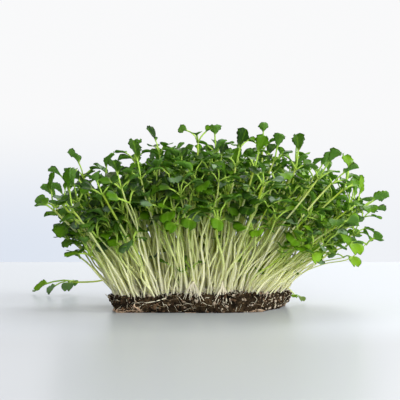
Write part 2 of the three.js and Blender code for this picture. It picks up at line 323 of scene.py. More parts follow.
@dataclass(frozen=True)
class GrowthRule:
    """How seedlings stand on the block, lean and carry their leaves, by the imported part's rule."""

    block: BlockShape = field(default_factory=BlockShape)
    seed: int = 21
    rows: int = 5
    bunches_in_row: int = 5
    row_reach: float = 0.82
    column_reach: float = 0.78
    stagger: float = 0.08
    in_bunch: int = 3
    bunch_spread: float = 10.0
    root_gap: float = 2.1
    root_depth: float = 6.0
    stem_length: float = 68.0
    fine_steps: int = 24
    lean_left: float = 52.0
    lean_right: float = 80.0
    lean_depth: float = 40.0
    lean_power_across: float = 1.5
    lean_power_deep: float = 1.3
    lean_cap: float = 85.0
    root_lean: float = 0.6
    head_gap: float = 0.4
    head_half: float = 0.95
    head_sink: float = 0.1
    stalk_off_middle: float = 0.45
    top_upturn: float = 0.45
    leaf_thickness: float = 0.7
    size: Pair = (0.68, 1.17)
    size_gain_left: float = -0.1
    size_gain_right: float = 0.14
    bend: Pair = (-20, 20)
    lean_draw: Pair = (-1.5, 1.5)
    length_draw: Pair = (0.97, 1.03)
    sway: Pair = (-1.6, 1.6)
    second_true_leaf: float = 0.25
    place_u: Pair = (-0.03, 0.03)
    place_v: Pair = (-0.04, 0.04)

    def gain(self, u: float) -> float:
        """Returns how much larger seedlings are at a place across the block."""
        return 1 + (self.size_gain_left if u < 0 else self.size_gain_right) * abs(u)

    def field_lean(self, u: float, v: float) -> Array:
        """Returns the lean of a stem at a place on the block, in degrees, outwards like an opened fan.

        Args:
            u: The place across.
            v: The place from front to back.

        Returns:
            The lean along X and along Y.
        """
        widest = self.lean_left if u < 0 else self.lean_right
        across = widest * math.copysign(abs(u) ** self.lean_power_across, u)
        deep = self.lean_depth * math.copysign(abs(v) ** self.lean_power_deep, v)
        return np.array([across, deep])

    def top_tilt(self, lean: Array) -> float:
        """Returns the tilt of a stem's top in radians, with steep leans eased."""
        steep = float(np.hypot(*lean))
        return math.radians(steep / math.hypot(1, steep / self.lean_cap))

    def stem_line(self, stem: Stem) -> Array:
        """Returns a stem's middle line, in equal steps from its root.

        Args:
            stem: The stem.

        Returns:
            The points, one in each row.
        """
        heading = math.atan2(stem.lean[1], stem.lean[0])
        share = (np.arange(self.fine_steps) + 0.5) / self.fine_steps
        tilt = self.top_tilt(stem.lean) * (self.root_lean + (1 - self.root_lean) * share * (2 - share))
        ways = [np.sin(tilt) * math.cos(heading), np.sin(tilt) * math.sin(heading), np.cos(tilt)]
        far = np.cumsum(np.stack(ways, axis=1), axis=0) * stem.length / self.fine_steps
        line = stem.root + np.vstack([np.zeros(3), far])
        sway = stem.sway * np.sin(np.linspace(0, math.pi, self.fine_steps + 1)) ** 2
        return line + sway[:, None] * np.array([-math.sin(heading), math.cos(heading), 0])

    def head_on(self, line: Array) -> Head:
        """Returns the head on a stem's middle line.

        Args:
            line: The middle line.

        Returns:
            The head.
        """
        axis = unit(line[-1] - line[-2])
        upright = unit(axis * (1 - self.top_upturn) + UP * self.top_upturn)
        return Head(line[-1] + axis * (self.head_gap + self.leaf_thickness / 2), upright)

    def drawn_leaf(self, draws: Draws, kind: LeafKind, azimuth: float, limits: Limits) -> Leaf:
        """Returns a leaf of random size and bend near an azimuth."""
        turn, rise, fall, length, half_width = (draws.between(pair) for pair in limits[kind])
        return Leaf(kind, azimuth + turn, rise, fall, length, half_width)

    def place_at(self, number: int, u: float, v: float) -> Place:
        """Returns a rooting place on the block, with its root below the surface.

        Args:
            number: Its number.
            u: The place across.
            v: The place from front to back.

        Returns:
            The place.
        """
        lean = self.field_lean(u, v)
        tilt = self.root_lean * self.top_tilt(lean)
        heading = math.atan2(lean[1], lean[0])
        level = math.sin(tilt)
        along = np.array([level * math.cos(heading), level * math.sin(heading), math.cos(tilt)])
        x, y = self.block.plan(u, v)
        surface = np.array([float(x), float(y), float(self.block.top(x, y))])
        return Place(number, u, v, lean, surface - along * self.root_depth / along[2], along)

    def bunch_places(self) -> list[Place]:
        """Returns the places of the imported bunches.

        Returns:
            The places, row by row from the front.
        """
        places = []
        for row in range(self.rows):
            aside = self.stagger if row % 2 else -self.stagger
            for column in range(self.bunches_in_row):
                number = len(places) + 1
                draws = Draws(self.seed + number)
                u = self.column_reach * (2 * column / (self.bunches_in_row - 1) - 1) + aside
                u += draws.between(self.place_u)
                v = self.row_reach * (2 * row / (self.rows - 1) - 1) + draws.between(self.place_v)
                places.append(self.place_at(number, u, v))
        return places

    def bunch_plan(self, place: Place, attempt: int) -> Plan:
        """Returns the stems and leaves that one draw gives a bunch.

        Args:
            place: The bunch's place.
            attempt: The number of the draw.

        Returns:
            Each stem with its leaves.
        """
        draws = Draws(self.seed + 1000 * place.number + attempt)
        row = draws.between((0, 360))
        flat = np.array([math.cos(math.radians(row)), math.sin(math.radians(row)), 0])
        row_step = unit(flat - place.along * np.dot(flat, place.along)) * self.root_gap
        size = draws.between(self.size) * self.gain(place.u)
        seedlings = []
        for k in range(self.in_bunch):
            step = k - (self.in_bunch - 1) / 2
            bend = math.radians(row + draws.between(self.bend))
            spread = step * self.bunch_spread
            lean_x = place.lean[0] + spread * math.cos(bend) + draws.between(self.lean_draw)
            lean_y = place.lean[1] + spread * math.sin(bend) + draws.between(self.lean_draw)
            length = self.stem_length * size * draws.between(self.length_draw)
            lean = np.array([lean_x, lean_y])
            stem = Stem(place.root + row_step * step, lean, length, draws.between(self.sway))
            leaves = [self.drawn_leaf(draws, SEED, row + side, BUNCH_LEAVES) for side in (0, 180)]
            true_leaves = 2 if draws.next() < self.second_true_leaf else 1
            first_side = 90 if draws.next() < 0.5 else -90
            for n in range(true_leaves):
                azimuth = row + first_side + 180 * n
                leaves.append(self.drawn_leaf(draws, TRUE, azimuth, BUNCH_LEAVES))
            seedlings.append((stem, tuple(leaves)))
        return seedlings

    def leaf_points(
        self, head: Head, leaf: Leaf, share: Array, side: Array, lift: Array
    ) -> Array:
        """Places points of a leaf, which curves in one plane from its rise to its fall.

        Args:
            head: The head that the leaf grows on.
            leaf: The leaf.
            share: Each point's share of the leaf's length.
            side: Each point's distance sideways from the middle line.
            lift: Each point's distance above the leaf's middle surface.

        Returns:
            The points, along one more axis than the shares.
        """
        flat = np.array([1.0, 0, 0])
        level = unit(flat - head.upright * np.dot(flat, head.upright))
        out = turned(level, head.upright, leaf.azimuth)
        across = turned(np.cross(out, head.upright), out, leaf.roll)
        seed = leaf.kind is SEED
        foot = head.foot + out * (self.head_half if seed else self.stalk_off_middle)
        foot = foot - head.upright * (0 if seed else self.head_sink)
        start = math.radians(leaf.rise)
        turn = math.radians(leaf.fall - leaf.rise)
        angle = start + turn * share
        up_by = leaf.length * (np.sin(angle) - math.sin(start)) / turn + lift * np.sin(angle)
        out_by = leaf.length * (math.cos(start) - np.cos(angle)) / turn - lift * np.cos(angle)
        return foot + up_by[..., None] * head.upright + out_by[..., None] * out + side[..., None] * across


@dataclass(frozen=True)
class LeafForm:
    """A leaf's outline and surface, in shares of its length and half width; thicknesses in millimetres."""

    stalk_end: float
    rows: tuple[Pair, ...]
    ends: tuple[float, float, float, float]
    cup: float
    fold: float
    ruffle: float
    teeth: float = 0.0
    tooth_depth: float = 0.0
    columns: int = 7
    stalk_rows: tuple[float, ...] = (0.35, 0.75)
    stalk_root: float = 1.4
    stalk_half: float = 0.5
    stalk_thick: float = 0.7
    blade_thick: float = 0.36
    edge_thick: float = 0.16
    blade_foot: Pair = (-0.05, 0.2)
    end_places: tuple[float, ...] = (0, 0.34, 0.67, 1)
    tooth_shift: float = 0.4
    wave_count: float = 2.2
    wave_shift: float = 2.5
    ruffle_power: float = 1.5

    def grid(self, leaf: Leaf, twist: float) -> tuple[Array, ...]:
        """Works out a leaf's points before it is bent.

        Args:
            leaf: The leaf, for its length and half width.
            twist: A random number from 0 to 1, which shifts the blade's waves.

        Returns:
            Share of the length, sideways distance, middle height, half thickness, and how far each point is
            on the blade, each as an array of rows by columns.
        """
        across = np.linspace(-1, 1, self.columns)
        end = np.interp(np.abs(across), self.end_places, self.ends)
        stalk_rows = [row * self.stalk_end for row in self.stalk_rows]
        stalk = np.array([-self.stalk_root / leaf.length, *stalk_rows])
        along = np.array([row[0] for row in self.rows])[:, None]
        blade = self.stalk_end + along * (end - self.stalk_end)
        share = np.vstack([stalk[:, None] * np.ones_like(across), blade])
        wide = np.array([self.stalk_half] * len(stalk) + [row[1] * leaf.half_width for row in self.rows])
        edges = share * self.teeth + twist + self.tooth_shift * np.sign(across)
        side = wide[:, None] * across * (1 - self.tooth_depth * np.abs(across) * (edges % 1))
        unrolled = smooth_step(along[:, 0], *self.blade_foot)
        on_blade = np.concatenate([np.zeros(len(stalk)), unrolled])[:, None]
        waves = np.sin(2 * math.pi * (self.wave_count * share + twist) + self.wave_shift * np.sign(across))
        hollow = self.cup * across**2 + self.fold * np.abs(across)
        hollow = hollow + self.ruffle * waves * np.abs(across) ** self.ruffle_power
        round_stalk = self.stalk_thick * np.sqrt(np.maximum(0, 1 - across**2))
        thin_blade = self.blade_thick - (self.blade_thick - self.edge_thick) * across**2
        thick = round_stalk * (1 - on_blade) + thin_blade * on_blade
        return share, side, on_blade * leaf.half_width * hollow, thick / 2, on_blade * np.ones_like(across)


FINE_FORMS = {
    SEED: LeafForm(
        stalk_end=0.42,
        rows=(
            (0, 0.17), (0.1, 0.5), (0.24, 0.84), (0.42, 1.02),
            (0.62, 1.06), (0.8, 0.98), (0.92, 0.82), (1, 0.6),
        ),
        ends=(0.88, 0.975, 1.0, 0.93),
        cup=0.2,
        fold=0.1,
        ruffle=0.05,
    ),
    TRUE: LeafForm(
        stalk_end=0.45,
        rows=(
            (0, 0.15), (0.1, 0.3), (0.18, 0.42), (0.26, 0.56), (0.34, 0.7), (0.42, 0.84), (0.5, 0.96),
            (0.58, 1.08), (0.66, 1.16), (0.74, 1.2), (0.82, 1.16), (0.9, 1.02), (0.96, 0.82), (1, 0.56),
        ),
        ends=(1.0, 0.97, 0.985, 0.92),
        cup=0.16,
        fold=0.3,
        ruffle=0.24,
        teeth=9.0,
        tooth_depth=0.3,
    ),
}
LONG_STALK_FORMS = {
    SEED: FINE_FORMS[SEED],
    TRUE: replace(FINE_FORMS[TRUE], stalk_end=0.62),
}
LIGHT_FORMS = {
    SEED: replace(
        FINE_FORMS[SEED],
        rows=((0, 0.17), (0.14, 0.62), (0.36, 0.98), (0.62, 1.06), (0.86, 0.92), (1, 0.6)),
        columns=5,
        stalk_rows=(0.6,),
    ),
    TRUE: replace(
        FINE_FORMS[TRUE],
        rows=(
            (0, 0.15), (0.16, 0.4), (0.32, 0.68), (0.46, 0.92),
            (0.6, 1.12), (0.74, 1.2), (0.88, 1.06), (1, 0.56),
        ),
        teeth=5.5,
        columns=5,
        stalk_rows=(0.6,),
    ),
}


@dataclass
class MeshParts:
    """The points, faces and point values of a mesh that is still growing."""

    points: list[Array] = field(default_factory=list)
    faces: list[tuple[int, ...]] = field(default_factory=list)
    edges: list[tuple[int, int]] = field(default_factory=list)
    values: dict[str, list[Array]] = field(default_factory=dict)
    count: int = 0

    def add(
        self,
        points: Array,
        faces: Iterable[tuple[int, ...]],
        values: dict[str, Array | float],
        edges: Iterable[tuple[int, int]] = (),
    ) -> None:
        """Adds a body: its points in millimetres, its faces or edges, and a value for each point.

        Args:
            points: The points, one in each row.
            faces: The faces, as point numbers.
            values: For each name, one value or a value for each point.
            edges: The edges, as point numbers.
        """
        self.faces.extend(tuple(corner + self.count for corner in face) for face in faces)
        self.edges.extend((start + self.count, end + self.count) for start, end in edges)
        self.points.append(points)
        for name, value in values.items():
            self.values.setdefault(name, []).append(np.broadcast_to(value, len(points)))
        self.count += len(points)

    def make(self, name: str) -> Piece:
        """Returns the finished piece, in metres and smoothly shaded.

        Args:
            name: Its name.

        Returns:
            The object.
        """
        mesh = bpy.data.meshes.new(name)
        mesh.from_pydata((np.vstack(self.points) * MM).tolist(), self.edges, self.faces)
        for value_name, parts in self.values.items():
            attribute = mesh.attributes.new(value_name, "FLOAT", "POINT")
            attribute.data.foreach_set("value", np.concatenate(parts).astype(np.float32))
        mesh.shade_smooth()
        return placed(name, mesh)


def loft_faces(rows: int, columns: int) -> list[tuple[int, ...]]:
    """Returns a leaf's faces, for its upper points row by row, then its lower inner points row by row.

    Args:
        rows: How many rows it has.
        columns: How many points an upper row has.

    Returns:
        The faces, as point numbers.
    """
    inner = columns - 2
    first_lower = rows * columns

    def ring(row: int) -> list[int]:
        """Returns the points round a row: over the top from left to right and back underneath.

        Args:
            row: The row.

        Returns:
            The point numbers.
        """
        upper = [row * columns + column for column in range(columns)]
        lower = [first_lower + row * inner + column for column in range(inner)]
        return upper + lower[::-1]

    faces = [tuple(ring(0)[::-1]), tuple(ring(rows - 1))]
    for row in range(rows - 1):
        near, far = ring(row), ring(row + 1)
        for k, corner in enumerate(near):
            following = (k + 1) % len(near)
            faces.append((corner, near[following], far[following], far[k]))
    return faces


@dataclass
class LeafMaker:
    """Builds leaves into a growing mesh."""

    rule: GrowthRule
    forms: dict[LeafKind, LeafForm]
    tones: Pair = (0, 1)
    # Painted light: the tone added to leaves towards the right and low down, and where it ramps in.
    right_painted_light: float = 0.42
    right_painted_light_span: Pair = (0, 75)
    low_painted_light: float = 0.32
    low_span: Pair = (25, 75)
    parts: MeshParts = field(default_factory=MeshParts)

    def add(self, head: Head, leaf: Leaf, draws: Draws) -> None:
        """Adds one leaf, with painted light that gives leaves towards the right and lower down a brighter
        tone.

        Args:
            head: The head that it grows on.
            leaf: The leaf.
            draws: The random numbers.
        """
        form = self.forms[leaf.kind]
        share, side, middle, half, on_blade = form.grid(leaf, draws.next())
        inner = slice(1, form.columns - 1)
        edge = np.ones(form.columns)
        edge[inner] = 0
        over = middle + half * (1 - edge)
        under = middle - half
        upper = self.rule.leaf_points(head, leaf, share, side, over).reshape(-1, 3)
        lower = self.rule.leaf_points(head, leaf, share[:, inner], side[:, inner], under[:, inner])
        lower = lower.reshape(-1, 3)
        wide = np.linspace(0, 1, form.columns) * np.ones_like(share)
        # The tone is a random draw plus painted light, brighter towards the right and lower down.
        tone = draws.between(self.tones) + self.right_painted_light * smooth_step(head.foot[0], *self.right_painted_light_span)
        tone += self.low_painted_light * (1 - smooth_step(head.foot[2], *self.low_span))
        rim = (0.5 * edge * np.ones_like(share)).ravel()

        def both(grid: Array) -> Array:
            """Returns a grid's values for the upper and then the lower points."""
            return np.concatenate([grid.ravel(), grid[:, inner].ravel()])

        self.parts.add(
            np.vstack([upper, lower]),
            loft_faces(*share.shape),
            {
                "across": both(wide),
                "along": both(share),
                "blade": both(on_blade),
                "underside": np.concatenate([rim, np.ones(len(lower))]),
                "tone": tone,
                "leaf_draw": draws.next(),
            },
        )


class Field:
    """A number in a node tree, on which Python's operators add Math nodes."""

    def __init__(self, nodes: Nodes, socket: Socket) -> None:
        """Wraps an output socket."""
        self.nodes = nodes
        self.socket = socket

    def math(self, operation: str, *others: Field | float, first: float | None = None) -> Field:
        """Adds a Math node.

        Args:
            operation: The node's operation.
            others: The operands after this one.
            first: A number that stands before this operand.

        Returns:
            The node's result.
        """
        operands = ([] if first is None else [first]) + [self, *others]
        node = self.nodes.add("ShaderNodeMath", {"operation": operation}, dict(enumerate(operands)))
        return Field(self.nodes, node.outputs[0])

    def __add__(self, other: Field | float) -> Field:
        """Adds."""
        return self.math("ADD", other)

    __radd__ = __add__

    def __sub__(self, other: Field | float) -> Field:
        """Subtracts."""
        return self.math("SUBTRACT", other)

    def __rsub__(self, other: float) -> Field:
        """Subtracts this from a number."""
        return self.math("SUBTRACT", first=other)

    def __mul__(self, other: Field | float) -> Field:
        """Multiplies."""
        return self.math("MULTIPLY", other)

    __rmul__ = __mul__

    def __abs__(self) -> Field:
        """Drops the sign."""
        return self.math("ABSOLUTE")

    def fraction(self) -> Field:
        """Returns what is left after the whole number."""
        return self.math("FRACT")

    def between(self, low: float, high: float) -> Field:
        """Returns 0 at low and 1 at high, with a smooth rise between.

        Args:
            low: Where the rise starts.
            high: Where it ends.

        Returns:
            The share.
        """
        smooth = {"interpolation_type": "SMOOTHSTEP"}
        inputs = {"Value": self, "From Min": low, "From Max": high}
        return Field(self.nodes, self.nodes.add("ShaderNodeMapRange", smooth, inputs).outputs["Result"])


Input = Field | Socket | float | Sequence[float]


class Nodes:
    """Adds nodes to one tree."""

    def __init__(self, tree: bpy.types.NodeTree) -> None:
        """Keeps the tree."""
        self.tree = tree

    def add(
        self,
        kind: str,
        settings: dict[str, object] | None = None,
        inputs: dict[str | int, Input] | None = None,
    ) -> Node:
        """Adds a node.

        Args:
            kind: The node's type.
            settings: Its settings, with "stops" for a ramp's places and colours.
            inputs: Values or links for its sockets, by name or number.

        Returns:
            The node.
        """
        node = self.tree.nodes.new(kind)
        for name, value in (settings or {}).items():
            if name == "stops":
                self.set_stops(node.color_ramp, value)
            else:
                setattr(node, name, value)
        self.feed(node, inputs or {})
        return node

    def feed(self, node: Node, inputs: dict[str | int, Input]) -> None:
        """Gives a node's sockets their values or links.

        Args:
            node: The node.
            inputs: Values or links, by name or number.
        """
        for name, value in inputs.items():
            if isinstance(value, Field):
                value = value.socket
            if isinstance(value, Socket):
                self.tree.links.new(value, node.inputs[name])
            else:
                node.inputs[name].default_value = value

    def set_stops(self, ramp: bpy.types.ColorRamp, stops: Sequence[tuple[float, Colour]]) -> None:
        """Sets a ramp's stops.

        Args:
            ramp: The ramp.
            stops: The place and colour of each stop.
        """
        while len(ramp.elements) < len(stops):
            ramp.elements.new(1)
        for element, (position, colour) in zip(ramp.elements, stops):
            element.position = position
            element.color = (*colour, 1)

    def attribute(self, name: str) -> Field:
        """Returns a mesh attribute's value."""
        return Field(self, self.add("ShaderNodeAttribute", {"attribute_name": name}).outputs["Fac"])

    def noise(self, place: Input, scale: float, detail: float = 3, roughness: float = 0.55) -> Field:
        """Returns smooth noise with the given number of features in a metre."""
        inputs = {"Vector": place, "Scale": scale, "Detail": detail, "Roughness": roughness}
        return Field(self, self.add("ShaderNodeTexNoise", None, inputs).outputs[0])

    def object_place(self) -> Socket:
        """Returns the place on the object, in metres."""
        return self.add("ShaderNodeTexCoord").outputs["Object"]

    def along(self, place: Input, axis: str) -> Field:
        """Returns how far a place lies along one axis."""
        return Field(self, self.add("ShaderNodeSeparateXYZ", None, {"Vector": place}).outputs[axis])

    def bump(self, strength: float, depth: float, height: Field) -> Socket:
        """Returns the surface's direction over a relief whose depth is in millimetres."""
        inputs = {"Strength": strength, "Distance": depth * MM, "Height": height}
        return self.add("ShaderNodeBump", None, inputs).outputs[0]

    def ramp(self, stops: Sequence[tuple[float, Colour]], place: Field) -> Socket:
        """Returns the colour at a place on a row of stops."""
        return self.add("ShaderNodeValToRGB", {"stops": stops}, {"Fac": place}).outputs[0]

    def mix(self, factor: Field | float, a: Input, b: Input) -> Socket:
        """Mixes two colours, each given as numbers or a link.

        Args:
            factor: The share of the second colour.
            a: The first colour.
            b: The second colour.

        Returns:
            The mixed colour.
        """
        sides = [(*side, 1) if isinstance(side, tuple) else side for side in (a, b)]
        node = self.add("ShaderNodeMix", {"data_type": "RGBA"}, {0: factor, 6: sides[0], 7: sides[1]})
        return node.outputs[2]


class Skin:
    """A new material and its nodes."""

    def __init__(self, name: str) -> None:
        """Starts a material.

        Args:
            name: The material's name.
        """
        self.material = bpy.data.materials.new(name)
        self.material.use_nodes = True
        self.nodes = Nodes(self.material.node_tree)
        self.shader = self.nodes.tree.nodes["Principled BSDF"]

    def dress(self, **inputs: Input) -> Material:
        """Sets the main shader's sockets, named with _ for a space, and returns the material."""
        self.nodes.feed(self.shader, {name.replace("_", " "): value for name, value in inputs.items()})
        return self.material

    def let_through(self, colour: Colour, share: float) -> None:
        """Mixes light that passes through the surface into the material.

        Args:
            colour: The light's colour.
            share: How much of it shows.
        """
        through = self.nodes.add("ShaderNodeBsdfTranslucent", None, {"Color": (*colour, 1)})
        sides = {0: share, 1: self.shader.outputs[0], 2: through.outputs[0]}
        mixed = self.nodes.add("ShaderNodeMixShader", None, sides)
        self.nodes.feed(self.nodes.tree.nodes["Material Output"], {"Surface": mixed.outputs[0]})


@dataclass(frozen=True)
class LeafFinish:
    """Waxy green leaf with paler veins and stalk and a blue-grey underside; the blue-grey of some leaves is
    part wax bloom and part painted sheen.
    """

    deep: Colour = (0.003, 0.016, 0.001)
    fresh: Colour = (0.070, 0.175, 0.002)
    fresh_tones: Pair = (0.15, 0.95)
    young_and_painted_light: Colour = (0.18, 0.35, 0.010)
    young_and_painted_light_tones: Pair = (1.0, 1.6)
    wax_bloom_and_sheen: Colour = (0.17, 0.24, 0.17)
    wax_bloom_and_sheen_draws: Pair = (0.84, 0.94)
    wax_bloom_and_sheen_share: float = 0.75
    blushed: Colour = (0.085, 0.070, 0.055)
    blushed_draws: Pair = (0.02, 0.06)
    blushed_share: float = 0.7
    stalk: Colour = (0.40, 0.58, 0.09)
    underside: Colour = (0.085, 0.18, 0.035)
    underside_from: Pair = (0.5, 0.9)
    vein: Colour = (0.15, 0.30, 0.02)
    vein_share: float = 0.45
    through: Colour = (0.42, 0.80, 0.006)
    through_share: float = 0.24
    roughness: float = 0.5
    gloss: float = 0.13
    mottle_scale: float = 260
    side_veins: float = 8.0
    vein_slant: float = 4.0
    vein_height: float = 0.12
    rib_width: float = 0.07
    branch_width: Pair = (0.02, 0.14)
    relief: float = 0.5

    def build(self) -> Material:
        """Builds the finish.

        Returns:
            The material.
        """
        skin = Skin("leaf")
        nodes = skin.nodes
        tone, leaf_draw, blade = (nodes.attribute(name) for name in ("tone", "leaf_draw", "blade"))
        underside = nodes.attribute("underside").between(*self.underside_from)
        mottle = nodes.noise(nodes.object_place(), self.mottle_scale)
        off_rib = abs(nodes.attribute("across") - 0.5)
        rib = 1 - off_rib.between(0.0, self.rib_width)
        slanted = nodes.attribute("along") * self.side_veins - off_rib * self.vein_slant
        branch = abs(slanted.fraction() - 0.5)
        veins = (rib + (1 - branch.between(*self.branch_width)) * 0.5).math("MINIMUM", 1.0) * blade
        # Tone is a random draw plus painted light on leaves to the right and low down; above 1 it brings in
        # a brighter green that is partly young leaves and partly painted light.
        green = nodes.mix((tone + mottle * 0.6 - 0.3).between(*self.fresh_tones), self.deep, self.fresh)
        green = nodes.mix((tone + mottle * 0.2 - 0.1).between(*self.young_and_painted_light_tones), green, self.young_and_painted_light)
        # Painted sheen: a few leaves turn blue-grey, partly wax bloom and partly the sheen of the bright
        # room painted in.
        green = nodes.mix(leaf_draw.between(*self.wax_bloom_and_sheen_draws) * self.wax_bloom_and_sheen_share, green, self.wax_bloom_and_sheen)
        blush = (1 - leaf_draw.between(*self.blushed_draws)) * self.blushed_share
        green = nodes.mix(blush, green, self.blushed)
        green = nodes.mix(underside, green, self.underside)
        green = nodes.mix(veins * self.vein_share, green, self.vein)
        skin.let_through(self.through, self.through_share)
        return skin.dress(
            Base_Color=nodes.mix(blade, self.stalk, green),
            Normal=nodes.bump(self.relief, self.vein_height, veins + mottle),
            Roughness=mottle * 0.25 + (self.roughness - 0.1),
            Specular_IOR_Level=self.gloss,
        )


@dataclass(frozen=True)
class StemFinish:
    """Juicy pale stem, white at the root and greener towards its head."""

    foot: Colour = (0.94, 0.93, 0.79)
    middle: Colour = (0.85, 0.90, 0.54)
    top: Colour = (0.33, 0.52, 0.05)
    stops: tuple[float, float, float, float] = (0.0, 0.2, 0.5, 0.9)
    through: Colour = (0.92, 0.93, 0.17)
    through_share: float = 0.42
    roughness: float = 0.36
    streak_scale: float = 180
    skin_scale: float = 900
    relief: float = 0.35
    relief_depth: float = 0.08

    def build(self) -> Material:
        """Builds the finish.

        Returns:
            The material.
        """
        skin = Skin("stem")
        nodes = skin.nodes
        streaks = nodes.noise(nodes.object_place(), self.streak_scale)
        rise = nodes.attribute("rise") + streaks * 0.3 - 0.15 + (nodes.attribute("tone") - 0.5) * 0.3
        fine = nodes.noise(nodes.object_place(), self.skin_scale)
        stops = list(zip(self.stops, (self.foot, self.foot, self.middle, self.top)))
        skin.let_through(self.through, self.through_share)
        return skin.dress(
            Base_Color=nodes.ramp(stops, rise),
            Normal=nodes.bump(self.relief, self.relief_depth, fine),
            Roughness=self.roughness,
        )


@dataclass(frozen=True)
class SoilFinish:
    """Damp dark growing medium with pale flecks."""

    wet: Colour = (0.005, 0.0035, 0.002)
    dry: Colour = (0.060, 0.039, 0.020)
    dry_from: Pair = (0.38, 0.72)
    fleck: Colour = (0.22, 0.15, 0.085)
    fleck_from: Pair = (0.64, 0.72)
    grain_scale: float = 420
    patch_scale: float = 90
    fleck_scale: float = 1100
    relief: float = 0.9
    relief_depth: float = 0.5
    roughness: float = 0.9
    gloss: float = 0.06

    def build(self) -> Material:
        """Builds the finish.

        Returns:
            The material.
        """
        skin = Skin("growing_medium")
        nodes = skin.nodes
        place = nodes.object_place()
        grains = nodes.noise(place, self.grain_scale, 6, 0.7)
        patches = nodes.noise(place, self.patch_scale, 2)
        flecks = nodes.noise(place, self.fleck_scale, 2)
        dryness = (grains * 0.7 + patches * 0.5 - 0.1).between(*self.dry_from)
        colour = nodes.mix(dryness, self.wet, self.dry)
        return skin.dress(
            Base_Color=nodes.mix(flecks.between(*self.fleck_from), colour, self.fleck),
            Normal=nodes.bump(self.relief, self.relief_depth, grains + flecks),
            Roughness=self.roughness,
            Specular_IOR_Level=self.gloss,
        )


@dataclass(frozen=True)
class CrumbFinish:
    """Loose bits of bark, fibre and grit, from dark to pale."""

    stops: tuple[tuple[float, Colour], ...] = (
        (0.0, (0.008, 0.005, 0.003)),
        (0.55, (0.034, 0.020, 0.011)),
        (0.85, (0.14, 0.085, 0.050)),
        (1.0, (0.42, 0.36, 0.28)),
    )
    paler_from: float = 0.008
    palest_from: float = 0.040
    paler_by: float = 0.38
    grain_scale: float = 900
    relief: float = 0.7
    relief_depth: float = 0.25
    roughness: float = 0.9
    gloss: float = 0.06

    def build(self) -> Material:
        """Builds the finish.

        Returns:
            The material.
        """
        skin = Skin("crumbs")
        nodes = skin.nodes
        grain = nodes.noise(nodes.object_place(), self.grain_scale, 4)
        right_end = nodes.along(nodes.object_place(), "X").between(self.paler_from, self.palest_from)
        pale = nodes.attribute("pale") + grain * 0.3 - 0.15 + right_end * self.paler_by
        return skin.dress(
            Base_Color=nodes.ramp(self.stops, pale),
            Normal=nodes.bump(self.relief, self.relief_depth, grain),
            Roughness=self.roughness,
            Specular_IOR_Level=self.gloss,
        )


@dataclass(frozen=True)
class RootFinish:
    """Fine root or fibre, from its clean colour to its stained one."""

    name: str
    clean: Colour
    stained: Colour
    stain_scale: float = 150
    stain_from: Pair = (0.45, 0.75)
    through_share: float = 0.2
    roughness: float = 0.6

    def build(self) -> Material:
        """Builds the finish.

        Returns:
            The material.
        """
        skin = Skin(self.name)
        nodes = skin.nodes
        stain = nodes.noise(nodes.object_place(), self.stain_scale)
        amount = (stain + nodes.attribute("tone") * 0.5 - 0.25).between(*self.stain_from)
        skin.let_through(self.clean, self.through_share)
        return skin.dress(
            Base_Color=nodes.mix(amount, self.clean, self.stained), Roughness=self.roughness
        )


class GeometryTree:
    """A Geometry Nodes tree with named inputs, run once on a piece and then applied."""

    def __init__(self, name: str) -> None:
        """Starts a tree that takes and gives a geometry.

        Args:
            name: The tree's name.
        """
        self.tree = bpy.data.node_groups.new(name, "GeometryNodeTree")
        self.tree.interface.new_socket("Geometry", in_out="INPUT", socket_type="NodeSocketGeometry")
        self.tree.interface.new_socket("Geometry", in_out="OUTPUT", socket_type="NodeSocketGeometry")
        self.nodes = Nodes(self.tree)
        self.source = self.nodes.add("NodeGroupInput")
        self.identifiers: dict[str, str] = {}

    def number(self, name: str, kind: str = "NodeSocketFloat") -> Socket:
        """Returns a new named input of the tree.

        Args:
            name: Its name.
            kind: Its socket type.

        Returns:
            The input's socket.
        """
        socket = self.tree.interface.new_socket(name, in_out="INPUT", socket_type=kind)
        self.identifiers[name] = socket.identifier
        return self.source.outputs[name]

    def finish(self, geometry: Socket) -> None:
        """Ends the tree: real geometry, smooth, in the piece's material.

        Args:
            geometry: The last geometry.
        """
        material = self.number("Material", "NodeSocketMaterial")
        real = self.nodes.add("GeometryNodeRealizeInstances", None, {"Geometry": geometry})
        smooth = self.nodes.add("GeometryNodeSetShadeSmooth", None, {"Geometry": real.outputs[0]})
        inputs = {"Geometry": smooth.outputs[0], "Material": material}
        dressed = self.nodes.add("GeometryNodeSetMaterial", None, inputs)
        self.nodes.add("NodeGroupOutput", None, {0: dressed.outputs[0]})

    def run(self, piece: Piece, inputs: dict[str, object]) -> Piece:
        """Runs the tree on a piece and keeps the result as the piece's plain mesh.

        Args:
            piece: The object that the tree starts from.
            inputs: Values for the tree's named inputs.

        Returns:
            The same object, without a modifier.
        """
        modifier = piece.modifiers.new(self.tree.name, "NODES")
        modifier.node_group = self.tree
        for name, value in inputs.items():
            modifier[self.identifiers[name]] = value
        evaluated = piece.evaluated_get(bpy.context.evaluated_depsgraph_get())
        mesh = bpy.data.meshes.new_from_object(evaluated)
        piece.modifiers.remove(modifier)
        start = piece.data
        piece.data = mesh
        bpy.data.meshes.remove(start)
        mesh.name = piece.name
        return piece


class TubeTree(GeometryTree):
    """Turns lines that carry their thickness into round tubes with closed ends."""

    def __init__(self) -> None:
        """Builds the tree."""
        super().__init__("tubes_along_lines")
        sides = self.number("Sides", "NodeSocketInt")
        named = {"Name": "thickness"}
        thickness = self.nodes.add("GeometryNodeInputNamedAttribute", {"data_type": "FLOAT"}, named)
        curve = self.nodes.add("GeometryNodeMeshToCurve", None, {"Mesh": self.source.outputs[0]})
        circle = {"Resolution": sides, "Radius": 1.0}
        section = self.nodes.add("GeometryNodeCurvePrimitiveCircle", None, circle)
        inputs = {
            "Curve": curve.outputs[0],
            "Profile Curve": section.outputs[0],
            "Scale": thickness.outputs[0],
            "Fill Caps": True,
        }
        self.finish(self.nodes.add("GeometryNodeCurveToMesh", None, inputs).outputs[0])


